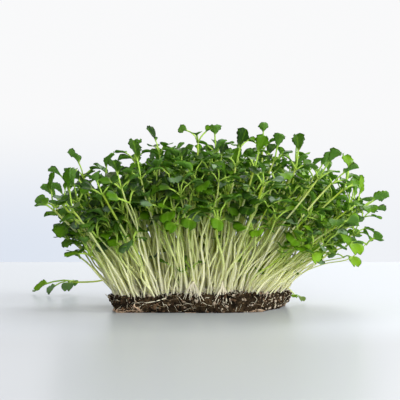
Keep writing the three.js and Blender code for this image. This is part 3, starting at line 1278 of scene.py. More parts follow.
class LineMaker:
    """Gathers lines with their thickness, and makes them tubes."""

    def __init__(self) -> None:
        """Starts with no line."""
        self.parts = MeshParts()

    def add(self, line: Array, radii: Array | Sequence[float], tone: float) -> None:
        """Adds a line in millimetres, with its thickness at its ends or at each point.

        Args:
            line: The points, one in each row.
            radii: The thickness at even places along it.
            tone: A number that shifts its colour.
        """
        share = np.linspace(0, 1, len(line))
        thickness = np.interp(share, np.linspace(0, 1, len(radii)), radii) * MM
        steps = [(k, k + 1) for k in range(len(line) - 1)]
        self.parts.add(line, [], {"thickness": thickness, "rise": share, "tone": tone}, steps)

    def make(self, name: str, tree: TubeTree, sides: int, material: Material) -> Piece:
        """Returns the tubes as one piece."""
        return tree.run(self.parts.make(name), {"Sides": sides, "Material": material})


class CrumbTree(GeometryTree):
    """Scatters rough crumbs over a surface."""

    FULL_TURN = 6.28
    THINNEST = (0.6, 0.6, 0.4)
    WIDEST = (1.5, 1.1, 1.0)

    def __init__(self) -> None:
        """Builds the tree."""
        super().__init__("crumbs_on_surface")
        density = self.number("Crumbs in a square metre")
        smallest = self.number("Smallest crumb")
        largest = self.number("Largest crumb")
        nodes = self.nodes
        surface = {"Mesh": self.source.outputs[0], "Density": density, "Seed": 5}
        spread = nodes.add("GeometryNodeDistributePointsOnFaces", {"distribute_method": "RANDOM"}, surface)
        ball = nodes.add("GeometryNodeMeshIcoSphere", None, {"Radius": 1.0, "Subdivisions": 1})
        form = self.random_vector(self.THINNEST, self.WIDEST, 4)
        squash = {0: form, "Scale": self.random(smallest, largest, 3)}
        crumbs = {
            "Points": spread.outputs[0],
            "Instance": ball.outputs[0],
            "Rotation": self.random_vector((0.0, 0.0, 0.0), (self.FULL_TURN,) * 3, 2),
            "Scale": nodes.add("ShaderNodeVectorMath", {"operation": "SCALE"}, squash).outputs[0],
        }
        heap = nodes.add("GeometryNodeInstanceOnPoints", None, crumbs)
        pale = {"Geometry": heap.outputs[0], "Name": "pale", "Value": self.random(0.0, 1.0, 6)}
        on_each = {"data_type": "FLOAT", "domain": "INSTANCE"}
        self.finish(nodes.add("GeometryNodeStoreNamedAttribute", on_each, pale).outputs[0])

    def random(self, low: Input, high: Input, seed: int) -> Socket:
        """Returns a random number for each crumb."""
        inputs = {2: low, 3: high, "Seed": seed}
        return self.nodes.add("FunctionNodeRandomValue", {"data_type": "FLOAT"}, inputs).outputs[1]

    def random_vector(self, low: Point, high: Point, seed: int) -> Socket:
        """Returns a random vector for each crumb."""
        inputs = {0: low, 1: high, "Seed": seed}
        return self.nodes.add("FunctionNodeRandomValue", {"data_type": "FLOAT_VECTOR"}, inputs).outputs[0]


@dataclass
class GrowingBlock:
    """The slab of growing medium: its body and the crumbs on it."""

    shape: BlockShape
    across: int = 170
    deep: int = 118
    levels: int = 22
    lumps: tuple[Pair, ...] = ((0.16, 1.5), (0.42, 0.9))
    lumps_on_top: float = 0.45
    crumb_waves: tuple[float, float, float, int] = (1.1, 0.8, 2.1, 4)
    crumb_height: float = 0.55
    calm_below: float = 1.2
    undercut: float = 2.6
    undercut_waves: float = 0.05
    undercut_layer: float = 7.0
    undercut_bias: float = 0.42
    undercut_height: float = 3.5
    rim_power: int = 24
    corner_power: int = 3
    crumbs_in_square_metre: float = 160000.0
    crumb_sizes: Pair = (0.35, 1.25)
    crumb_shake: float = 0.45
    shake_draws: int = 997

    def point(self, u: Array, v: Array, share: Array) -> Array:
        """Returns points of the plain block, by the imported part's rule, from foot (0) to top (1).

        Args:
            u: Places across.
            v: Places from front to back.
            share: Shares of the height.

        Returns:
            The points, along one more axis.
        """
        amount, round_waves, upward = self.shape.side_waves
        wave = amount * np.sin(round_waves * np.arctan2(v, u) + upward * share)
        inset = 1 - self.shape.foot_inset * (1 - share) ** 2 - wave
        x, y = self.shape.plan(u * inset, v * inset)
        edge = np.maximum(np.abs(u), np.abs(v)) ** self.shape.edge_power
        top = self.shape.top(x, y) - self.shape.edge_drop * edge
        return np.stack([x, y, top * share], axis=-1)

    def roughened(self, points: Array, out: Array, on_top: Array) -> Array:
        """Gives points the lumps, crumbs and undercut of torn medium.

        Args:
            points: The points, one in each row.
            out: The direction outwards at each of them.
            on_top: 1 where a point is on the top, 0 where it is on a side.

        Returns:
            The moved points.
        """
        moved = points.copy()
        waves, *rest = self.crumb_waves
        calm = self.lumps_on_top
        for k, point in enumerate(points):
            here = Vector(point)
            lump = sum(noise.noise(here * fineness) * high for fineness, high in self.lumps)
            crumb = noise.fractal(here * waves, *rest) * self.crumb_height
            ground = min(1.0, point[2] / self.calm_below)
            moved[k] += out[k] * (lump * (calm + (1 - calm) * (1 - on_top[k])) + crumb) * ground
            plan = point[0] * self.undercut_waves, point[1] * self.undercut_waves
            hollow = max(0.0, noise.noise(Vector((*plan, self.undercut_layer))) + self.undercut_bias)
            low = 1 - min(1.0, point[2] / self.undercut_height)
            moved[k] -= out[k] * self.undercut * hollow * low * (1 - on_top[k])
        moved[:, 2] = np.maximum(moved[:, 2], 0)
        return moved

    def outwards(self, u: Array, v: Array) -> Array:
        """Returns the level direction out of the block at each place, or no direction at its middle."""
        out = np.stack([u**self.corner_power, v**self.corner_power, np.zeros_like(u)], axis=1)
        return out / np.maximum(1e-6, np.linalg.norm(out, axis=1))[:, None]

    def body(self, material: Material) -> Piece:
        """Returns the slab as one closed piece.

        Args:
            material: Its finish.

        Returns:
            The piece.
        """
        line_u, line_v = np.linspace(-1, 1, self.across), np.linspace(-1, 1, self.deep)
        grid_u, grid_v = np.meshgrid(line_u, line_v)
        top = self.point(grid_u, grid_v, np.ones_like(grid_u)).reshape(-1, 3)
        index = np.arange(self.across * self.deep).reshape(self.deep, self.across)
        rim = np.concatenate([index[0, :-1], index[:-1, -1], index[-1, :0:-1], index[:0:-1, 0]])
        rim_u, rim_v = grid_u.ravel()[rim], grid_v.ravel()[rim]
        shares = np.linspace(1, 0, self.levels)[1:]
        sides = np.vstack([self.point(rim_u, rim_v, np.full_like(rim_u, share)) for share in shares])
        centre = np.array([[self.shape.centre_x, 0, 0]])
        rim_out = self.outwards(rim_u, rim_v)
        edge = np.maximum(np.abs(grid_u), np.abs(grid_v)).ravel()[:, None] ** self.rim_power
        top_out = UP * (1 - edge * 0.5) + self.outwards(grid_u.ravel(), grid_v.ravel()) * edge * 0.5
        out = np.vstack([top_out, np.tile(rim_out, (len(shares), 1)), [[0, 0, 0]]])
        on_top = np.concatenate([1 - edge[:, 0], np.zeros(len(sides) + 1)])
        points = self.roughened(np.vstack([top, sides, centre]), out, on_top)
        around = len(rim)
        rings = np.vstack([rim, len(top) + np.arange(len(sides)).reshape(len(shares), around)])
        faces = []
        for j in range(self.deep - 1):
            for i in range(self.across - 1):
                faces.append((index[j, i], index[j, i + 1], index[j + 1, i + 1], index[j + 1, i]))
        for upper, lower in zip(rings, rings[1:]):
            for k in range(around):
                following = (k + 1) % around
                faces.append((upper[following], upper[k], lower[k], lower[following]))
        last = len(points) - 1
        faces.extend((rings[-1][(k + 1) % around], rings[-1][k], last) for k in range(around))
        parts = MeshParts()
        parts.add(points, [tuple(int(corner) for corner in face) for face in faces], {})
        piece = parts.make("growing_medium_body")
        piece.data.materials.append(material)
        return piece

    def crumbs(self, body: Piece, material: Material) -> Piece:
        """Returns the loose crumbs on the body.

        Args:
            body: The slab.
            material: Their finish.

        Returns:
            The piece.
        """
        piece = placed("crumbs", body.data.copy())
        smallest, largest = self.crumb_sizes
        inputs = {
            "Crumbs in a square metre": self.crumbs_in_square_metre,
            "Smallest crumb": smallest * MM,
            "Largest crumb": largest * MM,
            "Material": material,
        }
        piece = CrumbTree().run(piece, inputs)
        draws = Draws(CRUMB_SEED)
        shake = np.array([draws.next() for _ in range(self.shake_draws)]) - 0.5
        flat = np.zeros(len(piece.data.vertices) * 3, np.float32)
        piece.data.vertices.foreach_get("co", flat)
        flat += np.resize(shake, flat.shape).astype(np.float32) * self.crumb_shake * MM
        places = flat.reshape(-1, 3)
        places[:, 2] = np.maximum(places[:, 2], 0)
        piece.data.vertices.foreach_set("co", places.ravel())
        return piece


@dataclass
class Sprout:
    """A seedling that lies away from the others, on a given route."""

    points: tuple[Point, ...]
    radius: float
    leaves: tuple[Leaf, ...]
    head_gap: float = 0.4
    steps: int = 24
    taper: float = 0.8

    def line(self) -> Array:
        """Returns the smooth line through the route's points.

        Returns:
            The points, one in each row.
        """
        points = [np.array(point, float) for point in self.points]
        points = [2 * points[0] - points[1], *points, 2 * points[-1] - points[-2]]
        spans = len(points) - 3
        line = []
        for k in range(self.steps + 1):
            place = spans * k / self.steps
            span = min(int(place), spans - 1)
            line.append(self.between(points[span : span + 4], place - span))
        return np.array(line)

    def between(self, four: Sequence[Array], share: float) -> Array:
        """Returns a point between the middle two of four points, on a centripetal curve.

        Args:
            four: The four points.
            share: How far it lies from the second to the third.

        Returns:
            The point.
        """
        gaps = [np.linalg.norm(four[k + 1] - four[k]) ** 0.5 for k in range(3)]
        a, b, c, d = four
        leave = (b - a) / gaps[0] - (c - a) / (gaps[0] + gaps[1]) + (c - b) / gaps[1]
        reach = (c - b) / gaps[1] - (d - b) / (gaps[1] + gaps[2]) + (d - c) / gaps[2]
        leave, reach = leave * gaps[1], reach * gaps[1]
        square, cube = share * share, share**3
        return (
            b
            + leave * share
            + (3 * (c - b) - 2 * leave - reach) * square
            + (2 * (b - c) + leave + reach) * cube
        )

    def head(self) -> Head:
        """Returns the head at the line's end."""
        return Head(self.line()[-1] + UP * (self.radius + self.head_gap), UP)

    def seedling(self) -> Seedling:
        """Returns the sprout as a seedling."""
        line = np.vstack([self.line(), self.head().foot])
        return Seedling(line, (self.radius, self.radius * self.taper), self.head(), self.leaves)


def sprout(radius: float, points: tuple[Point, ...], *leaves: tuple[LeafKind | float, ...]) -> Sprout:
    """Returns a sprout of a stem's radius, its route's points and a row of numbers for each leaf."""
    return Sprout(points, radius, tuple(Leaf(*leaf) for leaf in leaves))


TRAILING_SPROUT = sprout(
    0.66,
    ((-26, 21, 4.2), (-28, 28, 13), (-35, 42, 17.5), (-51, 65, 13.5), (-65, 85, 9.5), (-80, 94.5, 8.4)),
    (SEED, -108, 84, 168, 12, 3.9),
    (SEED, 98, 80, 150, 11, 3.4),
    (TRUE, 166, 82, 130, 29, 4.2, -48),
    (TRUE, 206, 80, 156, 19.5, 3.9, -25),
)
SIDE_SPROUT = sprout(
    0.4, ((43, 19.5, 4.2), (45.5, 23.5, 11), (49, 28.5, 12.4), (55, 34.5, 8), (59.5, 37, 3.2)),
    (SEED, 246, 50, 150, 5, 1.9),
    (SEED, -60, 80, 160, 6.4, 2.3),
)
LOW_RIGHT_SPROUTS = (
    sprout(
        0.46, ((39, -13, 5), (49, -17, 18), (57, -20, 27), (65, -21, 33)),
        (SEED, -115, 50, 160, 11, 4.2),
        (SEED, -40, 50, 165, 11.5, 4.4),
    ),
    sprout(
        0.32, ((43, -7, 5), (55, -9, 18), (70, -11, 25), (84, -12, 28), (93, -12, 36)),
        (SEED, -30, 40, 115, 10, 3.4, -50),
        (SEED, 160, 70, 120, 9, 3, 40),
    ),
    sprout(
        0.45, ((36, -18, 5), (50, -22, 20), (66, -25, 30), (80, -27, 35)),
        (SEED, -70, 60, 165, 15, 4),
        (SEED, 40, 50, 140, 11, 3.8),
    ),
    sprout(
        0.32, ((44, 2, 5), (55, 3, 18), (69, 4, 25), (83, 4, 28)),
        (SEED, -60, 70, 170, 13, 3.8),
        (SEED, 130, 60, 140, 10, 3.6),
    ),
    sprout(
        0.48, ((44, -3, 5), (59, -5, 30), (77, -8, 47), (91, -9, 54)),
        (SEED, -75, 50, 150, 14, 4.6),
        (TRUE, -12, 40, 88, 17, 3.6, -50),
        (SEED, 120, 50, 110, 11, 4),
    ),
    sprout(
        0.46, ((33, -21, 5), (48, -28, 24), (62, -33, 38), (74, -37, 46)),
        (SEED, -100, 40, 150, 13, 4.5),
        (SEED, 20, 50, 130, 12, 4.3, -40),
    ),
)
LEFT_SPROUTS = (
    sprout(
        0.46, ((-43, -13, 5), (-57, -16, 31), (-69, -17, 47), (-76.5, -17, 56)),
        (SEED, 196, 52, 120, 11, 4.2, 45),
        (SEED, -30, 60, 120, 11, 4, -40),
    ),
    sprout(
        0.46, ((-43, -6, 5), (-55, -8, 32), (-65, -9, 52), (-70.5, -9, 66)),
        (SEED, -60, 50, 130, 12, 3.8),
        (TRUE, 172, 12, 88, 16, 3, 30),
        (SEED, 20, 40, 110, 11, 3.6),
    ),
    sprout(
        0.44, ((-42, -18, 5), (-51, -22, 25), (-58.5, -25, 38), (-63, -25, 44)),
        (TRUE, 236, 60, 158, 17, 5),
        (SEED, -70, 50, 150, 11, 4),
    ),
    sprout(
        0.46, ((-42, -22, 5), (-50, -28, 24), (-57, -33, 40), (-62, -35, 51)),
        (SEED, 214, 50, 130, 12, 4.3, 30),
        (SEED, -50, 50, 140, 12, 4.2),
    ),
    sprout(
        0.44, ((-40, -8, 5), (-50, -10, 36), (-58, -11, 60), (-62, -11, 73)),
        (TRUE, 200, 6, 64, 16, 4.0, 20),
        (SEED, -30, 40, 110, 12, 4),
        (SEED, 150, 40, 120, 12, 4),
    ),
)
LONG_LEAF_SPROUT = sprout(
    0.42, ((-16, -18, 5), (-19, -22, 35), (-20, -24, 66), (-19.5, -24, 85)),
    (TRUE, 205, 10, 52, 15, 3.4, -55),
    (SEED, -60, 40, 100, 11, 3.6),
    (SEED, 120, 40, 100, 11, 3.6),
)
TALL_SPROUTS = (
    sprout(
        0.44, ((24, -10, 5), (30, -11, 36), (35, -11, 66), (36.5, -11, 88)),
        (TRUE, -84, 4, 26, 14.5, 2.9),
        (SEED, 170, 35, 95, 10, 3.6),
        (SEED, -20, 35, 95, 10, 3.6),
    ),
    sprout(
        0.55, ((-2, -20, 5), (-1, -24, 34), (0, -27, 62), (1, -27, 91)),
        (TRUE, 190, 15, 120, 13, 3, -40),
        (TRUE, 10, 25, 70, 10, 2.6, 40),
        (SEED, -100, 40, 110, 11, 3.6),
    ),
    sprout(
        0.46, ((6, -12, 5), (8, -14, 38), (10, -15, 70), (10.5, -15, 86)),
        (TRUE, -100, 0, 40, 15, 3.6),
        (SEED, 190, 40, 90, 11, 3.6),
        (SEED, 20, 40, 90, 11, 3.6),
    ),
    sprout(
        0.44, ((-23, -10, 5), (-29, -12, 38), (-33, -13, 66), (-34, -13, 82)),
        (TRUE, -60, 0, 60, 12, 2.8),
        (SEED, 165, 35, 110, 11, 3.8),
        (SEED, -15, 35, 110, 11, 3.8),
    ),
    sprout(
        0.44, ((33, -4, 5), (44, -5, 36), (52, -6, 62), (55, -6, 81)),
        (TRUE, -80, 2, 30, 14, 2.7),
        (TRUE, 25, 8, 30, 14, 2.0, 30),
        (SEED, -60, 35, 110, 11, 3.8),
    ),
    sprout(
        0.44, ((15, -16, 5), (19, -18, 38), (22, -19, 70), (23, -19, 86)),
        (TRUE, 20, 10, 110, 13, 2.2, 30),
        (SEED, -100, 40, 120, 11, 3.8),
    ),
)


class SoilSurface:
    """Finds places on the growing medium, in millimetres."""

    MIDDLE_X = 2.0
    BEFORE_Y = -90.0
    FAR_OUT = 120
    CREEP_STEP = 1.1
    PROUD = 0.12

    def __init__(self, body: Piece) -> None:
        """Reads the body's mesh."""
        corners = [vertex.co / MM for vertex in body.data.vertices]
        self.tree = BVHTree.FromPolygons(corners, [tuple(face.vertices) for face in body.data.polygons])

    def nearest(self, place: Array) -> tuple[Array, Array]:
        """Returns the surface point nearest to a place, and the direction out of the medium there."""
        found, out, _, _ = self.tree.find_nearest(Vector(place))
        return np.array(found), np.array(out)

    def seen_from(self, start: Array, towards: Array) -> Array:
        """Returns the surface point that a ray meets, or the nearest one where it misses."""
        found = self.tree.ray_cast(Vector(start), Vector(unit(towards - start)))[0]
        return self.nearest(towards)[0] if found is None else np.array(found)

    def on_front(self, x: float, z: float) -> Array:
        """Returns the point of the front face at a place across and a height."""
        return self.seen_from(np.array([x, self.BEFORE_Y, z]), np.array([x, 0.0, z]))

    def on_rim(self, degrees: float, z: float) -> Array:
        """Returns the point of the side faces in a direction round the block, at a height.

        Args:
            degrees: The direction, from +X towards +Y.
            z: The height.

        Returns:
            The point.
        """
        angle = math.radians(degrees)
        middle = np.array([self.MIDDLE_X, 0, z])
        out = np.array([math.cos(angle), math.sin(angle), 0]) * self.FAR_OUT
        return self.seen_from(middle + out, middle)

    def crept(
        self, start: Array, heading: Array, length: float, stray: float, draws: Draws
    ) -> Array:
        """Returns a line that creeps over the medium.

        Args:
            start: Where it starts.
            heading: The direction that it starts in.
            length: Its length.
            stray: How much it turns at each step.
            draws: The random numbers for its turns.

        Returns:
            The line, half sunk into the surface.
        """
        steps = max(4, round(length / self.CREEP_STEP))
        place, out = self.nearest(start)
        line = [place]
        for _ in range(steps):
            heading = heading + stray * np.array([draws.between((-1, 1)) for _ in range(3)])
            heading = unit(heading - out * np.dot(heading, out))
            place, out = self.nearest(place + heading * length / steps)
            line.append(place + out * self.PROUD)
        return np.array(line)


@dataclass
class Roots:
    """The roots that show on the growing block, and the mats of fibre along its foot.

    A fan is its apex's place across and height, the left and right end of its foot and the foot's height.
    A mat is two angles round the block, its height and its count of fibres.
    """

    surface: SoilSurface
    fans: tuple[tuple[float, float, float, float, float], ...] = (
        (-1.5, 17.0, -7.0, 4.5, 6.8),
        (13.8, 14.8, 8.0, 19.0, 6.0),
    )
    fan_lines: int = 8
    fan_points: int = 9
    fan_level: float = 8.0
    fan_sink: float = 2.0
    routes: tuple[tuple[Pair, ...], ...] = (
        ((-16, 7.9), (-18.5, 7.2), (-22, 6.2), (-26, 5.6), (-29, 4.2), (-30.6, 2.6)),
        ((-18.5, 7.2), (-17.6, 5.4), (-17.0, 3.8), (-17.2, 2.2)),
        ((-26, 5.6), (-29, 5.8), (-32.4, 5.4)),
        ((-32.6, 10.6), (-32.9, 8), (-32.2, 5.8), (-33.2, 3.4), (-34, 1.2)),
        ((38.5, 9.5), (37, 6.8), (35.6, 4.6), (34.6, 2.4)),
        ((12.2, 4.2), (11.7, 2.6), (10.6, 1.2), (9.4, 0.3)),
        ((11.9, 3.0), (12.8, 1.6), (14.2, 0.3)),
        ((24, 4.4), (23.4, 2.6), (22.6, 1.2)),
        ((31, 8.6), (32.4, 7.2), (31.6, 5.6), (28.8, 5.2)),
        ((3.2, 6.0), (5.6, 4.6), (8.4, 4.0)),
        ((-45, 6.8), (-43.6, 5.0), (-44.4, 3.2)),
    )
    route_radius: float = 0.32
    route_points: int = 20
    in_front: tuple[float, float, float] = (0, 0.22, 0)
    long_route: float = 15.0
    creepers: int = 130
    creeper_length: Pair = (4, 15)
    creeper_radius: Pair = (0.05, 0.14)
    off_table: float = 0.3
    mats: tuple[tuple[float, float, float, int], ...] = (
        (210, 220, 1.7, 50),
        (221.5, 223, 4.8, 34),
        (316, 324, 1.5, 20),
        (200, 340, 0.7, 8),
        (40, 60, 1.3, 24),
        (130, 150, 1.3, 24),
    )
    mat_length: Pair = (1.4, 3.6)
    mat_radius: Pair = (0.08, 0.17)
    loops: int = 6
    loop_points: int = 12
    loop_radii: Pair = (0.09, 0.07)
    loop_tone: float = 0.9
    hair_points: int = 6
    hair_length: Pair = (2.6, 6.5)
    hair_radius: Pair = (0.07, 0.12)

    def fan(self, lines: LineMaker, draws: Draws, fan: tuple[float, float, float, float, float]) -> None:
        """Adds roots that spread from a stem's foot down to the block's front.

        Args:
            lines: Where the roots are added.
            draws: The random numbers.
            fan: The numbers of the fan.
        """
        x, z, left, right, low = fan
        apex = self.surface.on_front(x, self.fan_level) + UP * (z - self.fan_level)
        apex = apex + np.array([0, self.fan_sink, 0])
        for k in range(self.fan_lines):
            share = (k + draws.between((-0.35, 0.35))) / (self.fan_lines - 1)
            foot = self.surface.on_front(left + (right - left) * share, low + draws.between((-1.6, 1.6)))
            bulge = np.array([draws.between((-0.8, 0.8)), -1.2, draws.between((-1, 1))])
            line = bowed(apex, foot, bulge, self.fan_points)
            line[0] = apex + np.array([draws.between((-0.5, 0.5)), 0, draws.between((-2.5, 2.5))])
            radii = draws.between((0.26, 0.4)), 0.24, draws.between((0.1, 0.16))
            lines.add(line, radii, draws.next() * 0.2)

    def white(self, tubes: TubeTree, material: Material) -> Piece:
        """Returns the pale roots on the block's faces.

        Args:
            tubes: The tree that makes the tubes.
            material: The roots' finish.

        Returns:
            The piece.
        """
        lines, draws = LineMaker(), Draws(WHITE_ROOT_SEED)
        for fan in self.fans:
            self.fan(lines, draws, fan)
        for route in self.routes:
            flat = resampled(np.array([(x, 0.0, z) for x, z in route]), self.route_points)
            line = np.array([self.surface.on_front(x, z) - self.in_front for x, _, z in flat])
            line[1:-1] = (line[:-2] + 2 * line[1:-1] + line[2:]) / 4
            length = np.linalg.norm(np.diff(flat, axis=0), axis=1).sum()
            thick = self.route_radius * min(1.0, length / self.long_route)
            lines.add(line, (thick, thick * 0.45), draws.next() * 0.5)
        for _ in range(self.creepers):
            start = self.surface.on_rim(draws.between((0, 360)), draws.between((1.5, 9.8)))
            heading = np.array([draws.between((-1, 1)), draws.between((-1, 1)), draws.between((-1, 0.3))])
            line = self.surface.crept(start, heading, draws.between(self.creeper_length), 0.5, draws)
            line[:, 2] = np.maximum(line[:, 2], self.off_table)
            thick = draws.between(self.creeper_radius)
            lines.add(line, (thick, thick * 0.5), 0.3 + draws.next())
        return lines.make("white_roots", tubes, 5, material)

    def mat(self, tubes: TubeTree, material: Material) -> Piece:
        """Returns the tan fibres that felt together along the block's foot.

        Args:
            tubes: The tree that makes the tubes.
            material: The fibres' finish.

        Returns:
            The piece.
        """
        lines, draws = LineMaker(), Draws(MAT_SEED)
        for start_angle, end_angle, high, count in self.mats:
            for _ in range(count):
                angle = draws.between((start_angle, end_angle))
                start = self.surface.on_rim(angle, high * draws.next() ** 1.5 + 0.15)
                out = unit(np.array([start[0] - self.surface.MIDDLE_X, start[1], 0]))
                sideways = np.cross(UP, out) * (1 if draws.next() < 0.5 else -1)
                line = self.surface.crept(start, sideways, draws.between(self.mat_length), 0.35, draws)
                away = np.sin(np.linspace(0, math.pi, len(line))) * draws.between((0.2, 1.7))
                line = line + away[:, None] * out
                line[:, 2] = np.clip(line[:, 2] * np.linspace(1, 0.6, len(line)), 0.22, high + 0.4)
                thick = draws.between(self.mat_radius)
                lines.add(line, (thick, thick * 0.6), draws.next())
        return lines.make("foot_fibres", tubes, 4, material)

    def hairs(self, feet: Array, tubes: TubeTree, material: Material) -> Piece:
        """Returns the fine root hairs round the stems' feet, and the loose loops at the block's left edge.

        Args:
            feet: Where the stems leave the medium.
            tubes: The tree that makes the tubes.
            material: The hairs' finish.

        Returns:
            The piece.
        """
        lines, draws = LineMaker(), Draws(HAIR_SEED)
        for foot in feet:
            near_edge = foot[1] < -18 or abs(foot[0] - 2) > 34 or foot[1] > 22
            for _ in range(3 if near_edge else 1):
                angle = draws.between((0, 2 * math.pi))
                out = np.array([math.cos(angle), math.sin(angle), 0])
                top = foot + UP * draws.between((0.5, 5.5))
                end = self.surface.nearest(foot + out * draws.between(self.hair_length))[0]
                bow = out * draws.between((0.2, 1.2)) + UP * draws.between((-0.5, 1))
                thick = draws.between(self.hair_radius)
                line = bowed(top, end, bow, self.hair_points)
                lines.add(line, (thick, thick * 0.6), draws.next() * 0.3)
        for _ in range(self.loops):
            start = self.surface.on_rim(draws.between((176, 206)), draws.between((5, 9.5)))
            end = self.surface.on_rim(draws.between((178, 204)), draws.between((2, 6)))
            away = np.array([-draws.between((1.5, 4.5)), -1, draws.between((-1, 4))])
            lines.add(bowed(start, end, away, self.loop_points), self.loop_radii, self.loop_tone)
        return lines.make("root_hairs", tubes, 3, material)


class Crowding:
    """Counts what already fills each small cell of the room above the block."""

    def __init__(self, cell: float = 1.5) -> None:
        """Starts with every cell empty.

        Args:
            cell: A cell's width in millimetres.
        """
        self.cell = cell
        self.low = np.array([-125.0, -100.0, -5.0])
        self.counts = np.zeros((170, 150, 80), np.int16)

    def cells(self, points: Array) -> tuple[Array, ...]:
        """Returns the cell numbers of points."""
        places = ((points - self.low) / self.cell).astype(int)
        return tuple(np.clip(places, 0, np.array(self.counts.shape) - 1).T)

    def clashes(self, points: Array) -> int:
        """Returns how much already stands where the points are."""
        return int(self.counts[self.cells(points)].sum())

    def fill(self, points: Array) -> None:
        """Marks the points' cells."""
        np.add.at(self.counts, self.cells(points), 1)


@dataclass
class Canopy:
    """All seedlings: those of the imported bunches, and those that fill the slab between them."""

    rule: GrowthRule
    nodes: dict[str, Piece]
    crowding: Crowding = field(default_factory=Crowding)
    most_draws: int = 400
    fill_across: int = 30
    fill_deep: int = 20
    fill_tries: int = 7
    fill_size: Pair = (0.66, 1.05)
    fill_front_loss: float = 0.08
    fill_corner_loss: float = 0.14
    fill_centre_gain: float = 0.1
    fill_end_loss: Pair = (0.16, 0.2)
    fill_lean_gain: Pair = (0.82, 0.98)
    fill_scatter: Pair = (-12, 12)
    fill_sway: Pair = (-4, 4)
    fill_thick: Pair = (0.34, 0.58)
    fill_bends: float = 3.0
    short_share: float = 0.1
    short_size: Pair = (0.24, 0.5)
    short_reach: float = 0.6
    edge_reach: float = 0.96
    clear_of_feet: float = 1.6
    bunch_thick: Pair = (0.48, 0.64)
    bunch_bends: float = 1.2
    bunch_roll: Pair = (-25, 25)
    taper: float = 1.28
    neck: float = 0.25
    bunch_points: int = 13
    fill_points: int = 10
    fill_shift: Pair = (-0.045, 0.045)
    fill_shift_deep: Pair = (-0.06, 0.06)
    true_leaf_share: float = 0.72
    second_leaf_share: float = 0.3
    short_leaf: Pair = (0.7, 0.74)
    short_thick: float = 0.8
    seed_tip: float = 0.88
    tip_found: float = 0.02
    enough_found: float = 0.9

    def packed_draw(self, place: Place) -> Plan:
        """Finds the draw that a packed bunch holds, by the tips of its leaves.

        Args:
            place: The bunch's place.

        Returns:
            The stems and leaves of that draw.
        """
        mesh = self.nodes[f"bunch_{place.number:02d}_leaves"].data
        tree = kdtree.KDTree(len(mesh.vertices))
        for k, vertex in enumerate(mesh.vertices):
            tree.insert(vertex.co, k)
        tree.balance()
        best, best_score = [], -1.0
        for attempt in range(self.most_draws):
            plan = self.rule.bunch_plan(place, attempt)
            tips, hits = 0, 0
            for stem, leaves in plan:
                head = self.rule.head_on(self.rule.stem_line(stem))
                for leaf in leaves:
                    end = np.full(2, self.seed_tip if leaf.kind is SEED else 1.0)
                    lift = np.array([0.5, -0.5]) * self.rule.leaf_thickness
                    for tip in self.rule.leaf_points(head, leaf, end, np.zeros(2), lift):
                        tips += 1
                        hits += tree.find(Vector(tip * MM))[2] < self.tip_found * MM
                if not hits:
                    break
            if hits / tips > best_score:
                best, best_score = plan, hits / tips
            if best_score > self.enough_found:
                break
        LOG.info("bunch %02d: %.0f%% of its leaf tips found", place.number, 100 * best_score)
        return best

    def grown(
        self, stem: Stem, leaves: tuple[Leaf, ...], thick: float, points: int, draws: Draws, bends: float
    ) -> Seedling:
        """Makes a seedling of a stem and its leaves.

        Args:
            stem: The stem.
            leaves: The leaves on its head.
            thick: The stem's radius half way up.
            points: How many points its middle line gets.
            draws: The random numbers for its bends.
            bends: How far it may wander from the plain line.

        Returns:
            The seedling, with its stem's line carried up into its head.
        """
        line = self.rule.stem_line(stem)
        head = self.rule.head_on(line)
        leaves = tuple(replace(leaf, roll=draws.between(self.bunch_roll)) for leaf in leaves)
        fine = wiggled(resampled(line, points), draws, bends)
        radii = (thick * self.taper, thick / self.taper)
        neck = head.foot - unit(line[-1] - line[-2]) * self.neck
        return Seedling(np.vstack([fine, neck]), radii, head, leaves)

    def samples(self, seedling: Seedling) -> Array:
        """Returns points spread over a seedling.

        Args:
            seedling: The seedling.

        Returns:
            The points, one in each row.
        """
        share = np.array([0.35, 0.6, 0.8, 0.8, 0.8, 0.97])
        side = np.array([0.0, 0.5, 0.0, 0.8, -0.8, 0.0])
        leaves = [
            self.rule.leaf_points(seedling.head, leaf, share, side * leaf.half_width, np.zeros(6))
            for leaf in seedling.leaves
        ]
        return np.vstack([resampled(seedling.line, 30)[8:], *leaves])

    def bunches(self) -> list[list[Seedling]]:
        """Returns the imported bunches' seedlings, row by row.

        Returns:
            The seedlings of each row from front to back.
        """
        rows: list[list[Seedling]] = [[] for _ in range(self.rule.rows)]
        for place in self.rule.bunch_places():
            draws = Draws(BUNCH_SEED + place.number)
            for stem, leaves in self.packed_draw(place):
                thick = draws.between(self.bunch_thick)
                seedling = self.grown(stem, leaves, thick, self.bunch_points, draws, self.bunch_bends)
                self.crowding.fill(self.samples(seedling))
                rows[(place.number - 1) // self.rule.bunches_in_row].append(seedling)
        return rows

    def feet(self, seedlings: Sequence[Seedling]) -> Array:
        """Returns where seedlings' stems leave the medium."""
        lines = [resampled(seedling.line, 80) for seedling in seedlings]
        return np.array([line[np.abs(line[:, 2] - self.rule.block.height).argmin()] for line in lines])

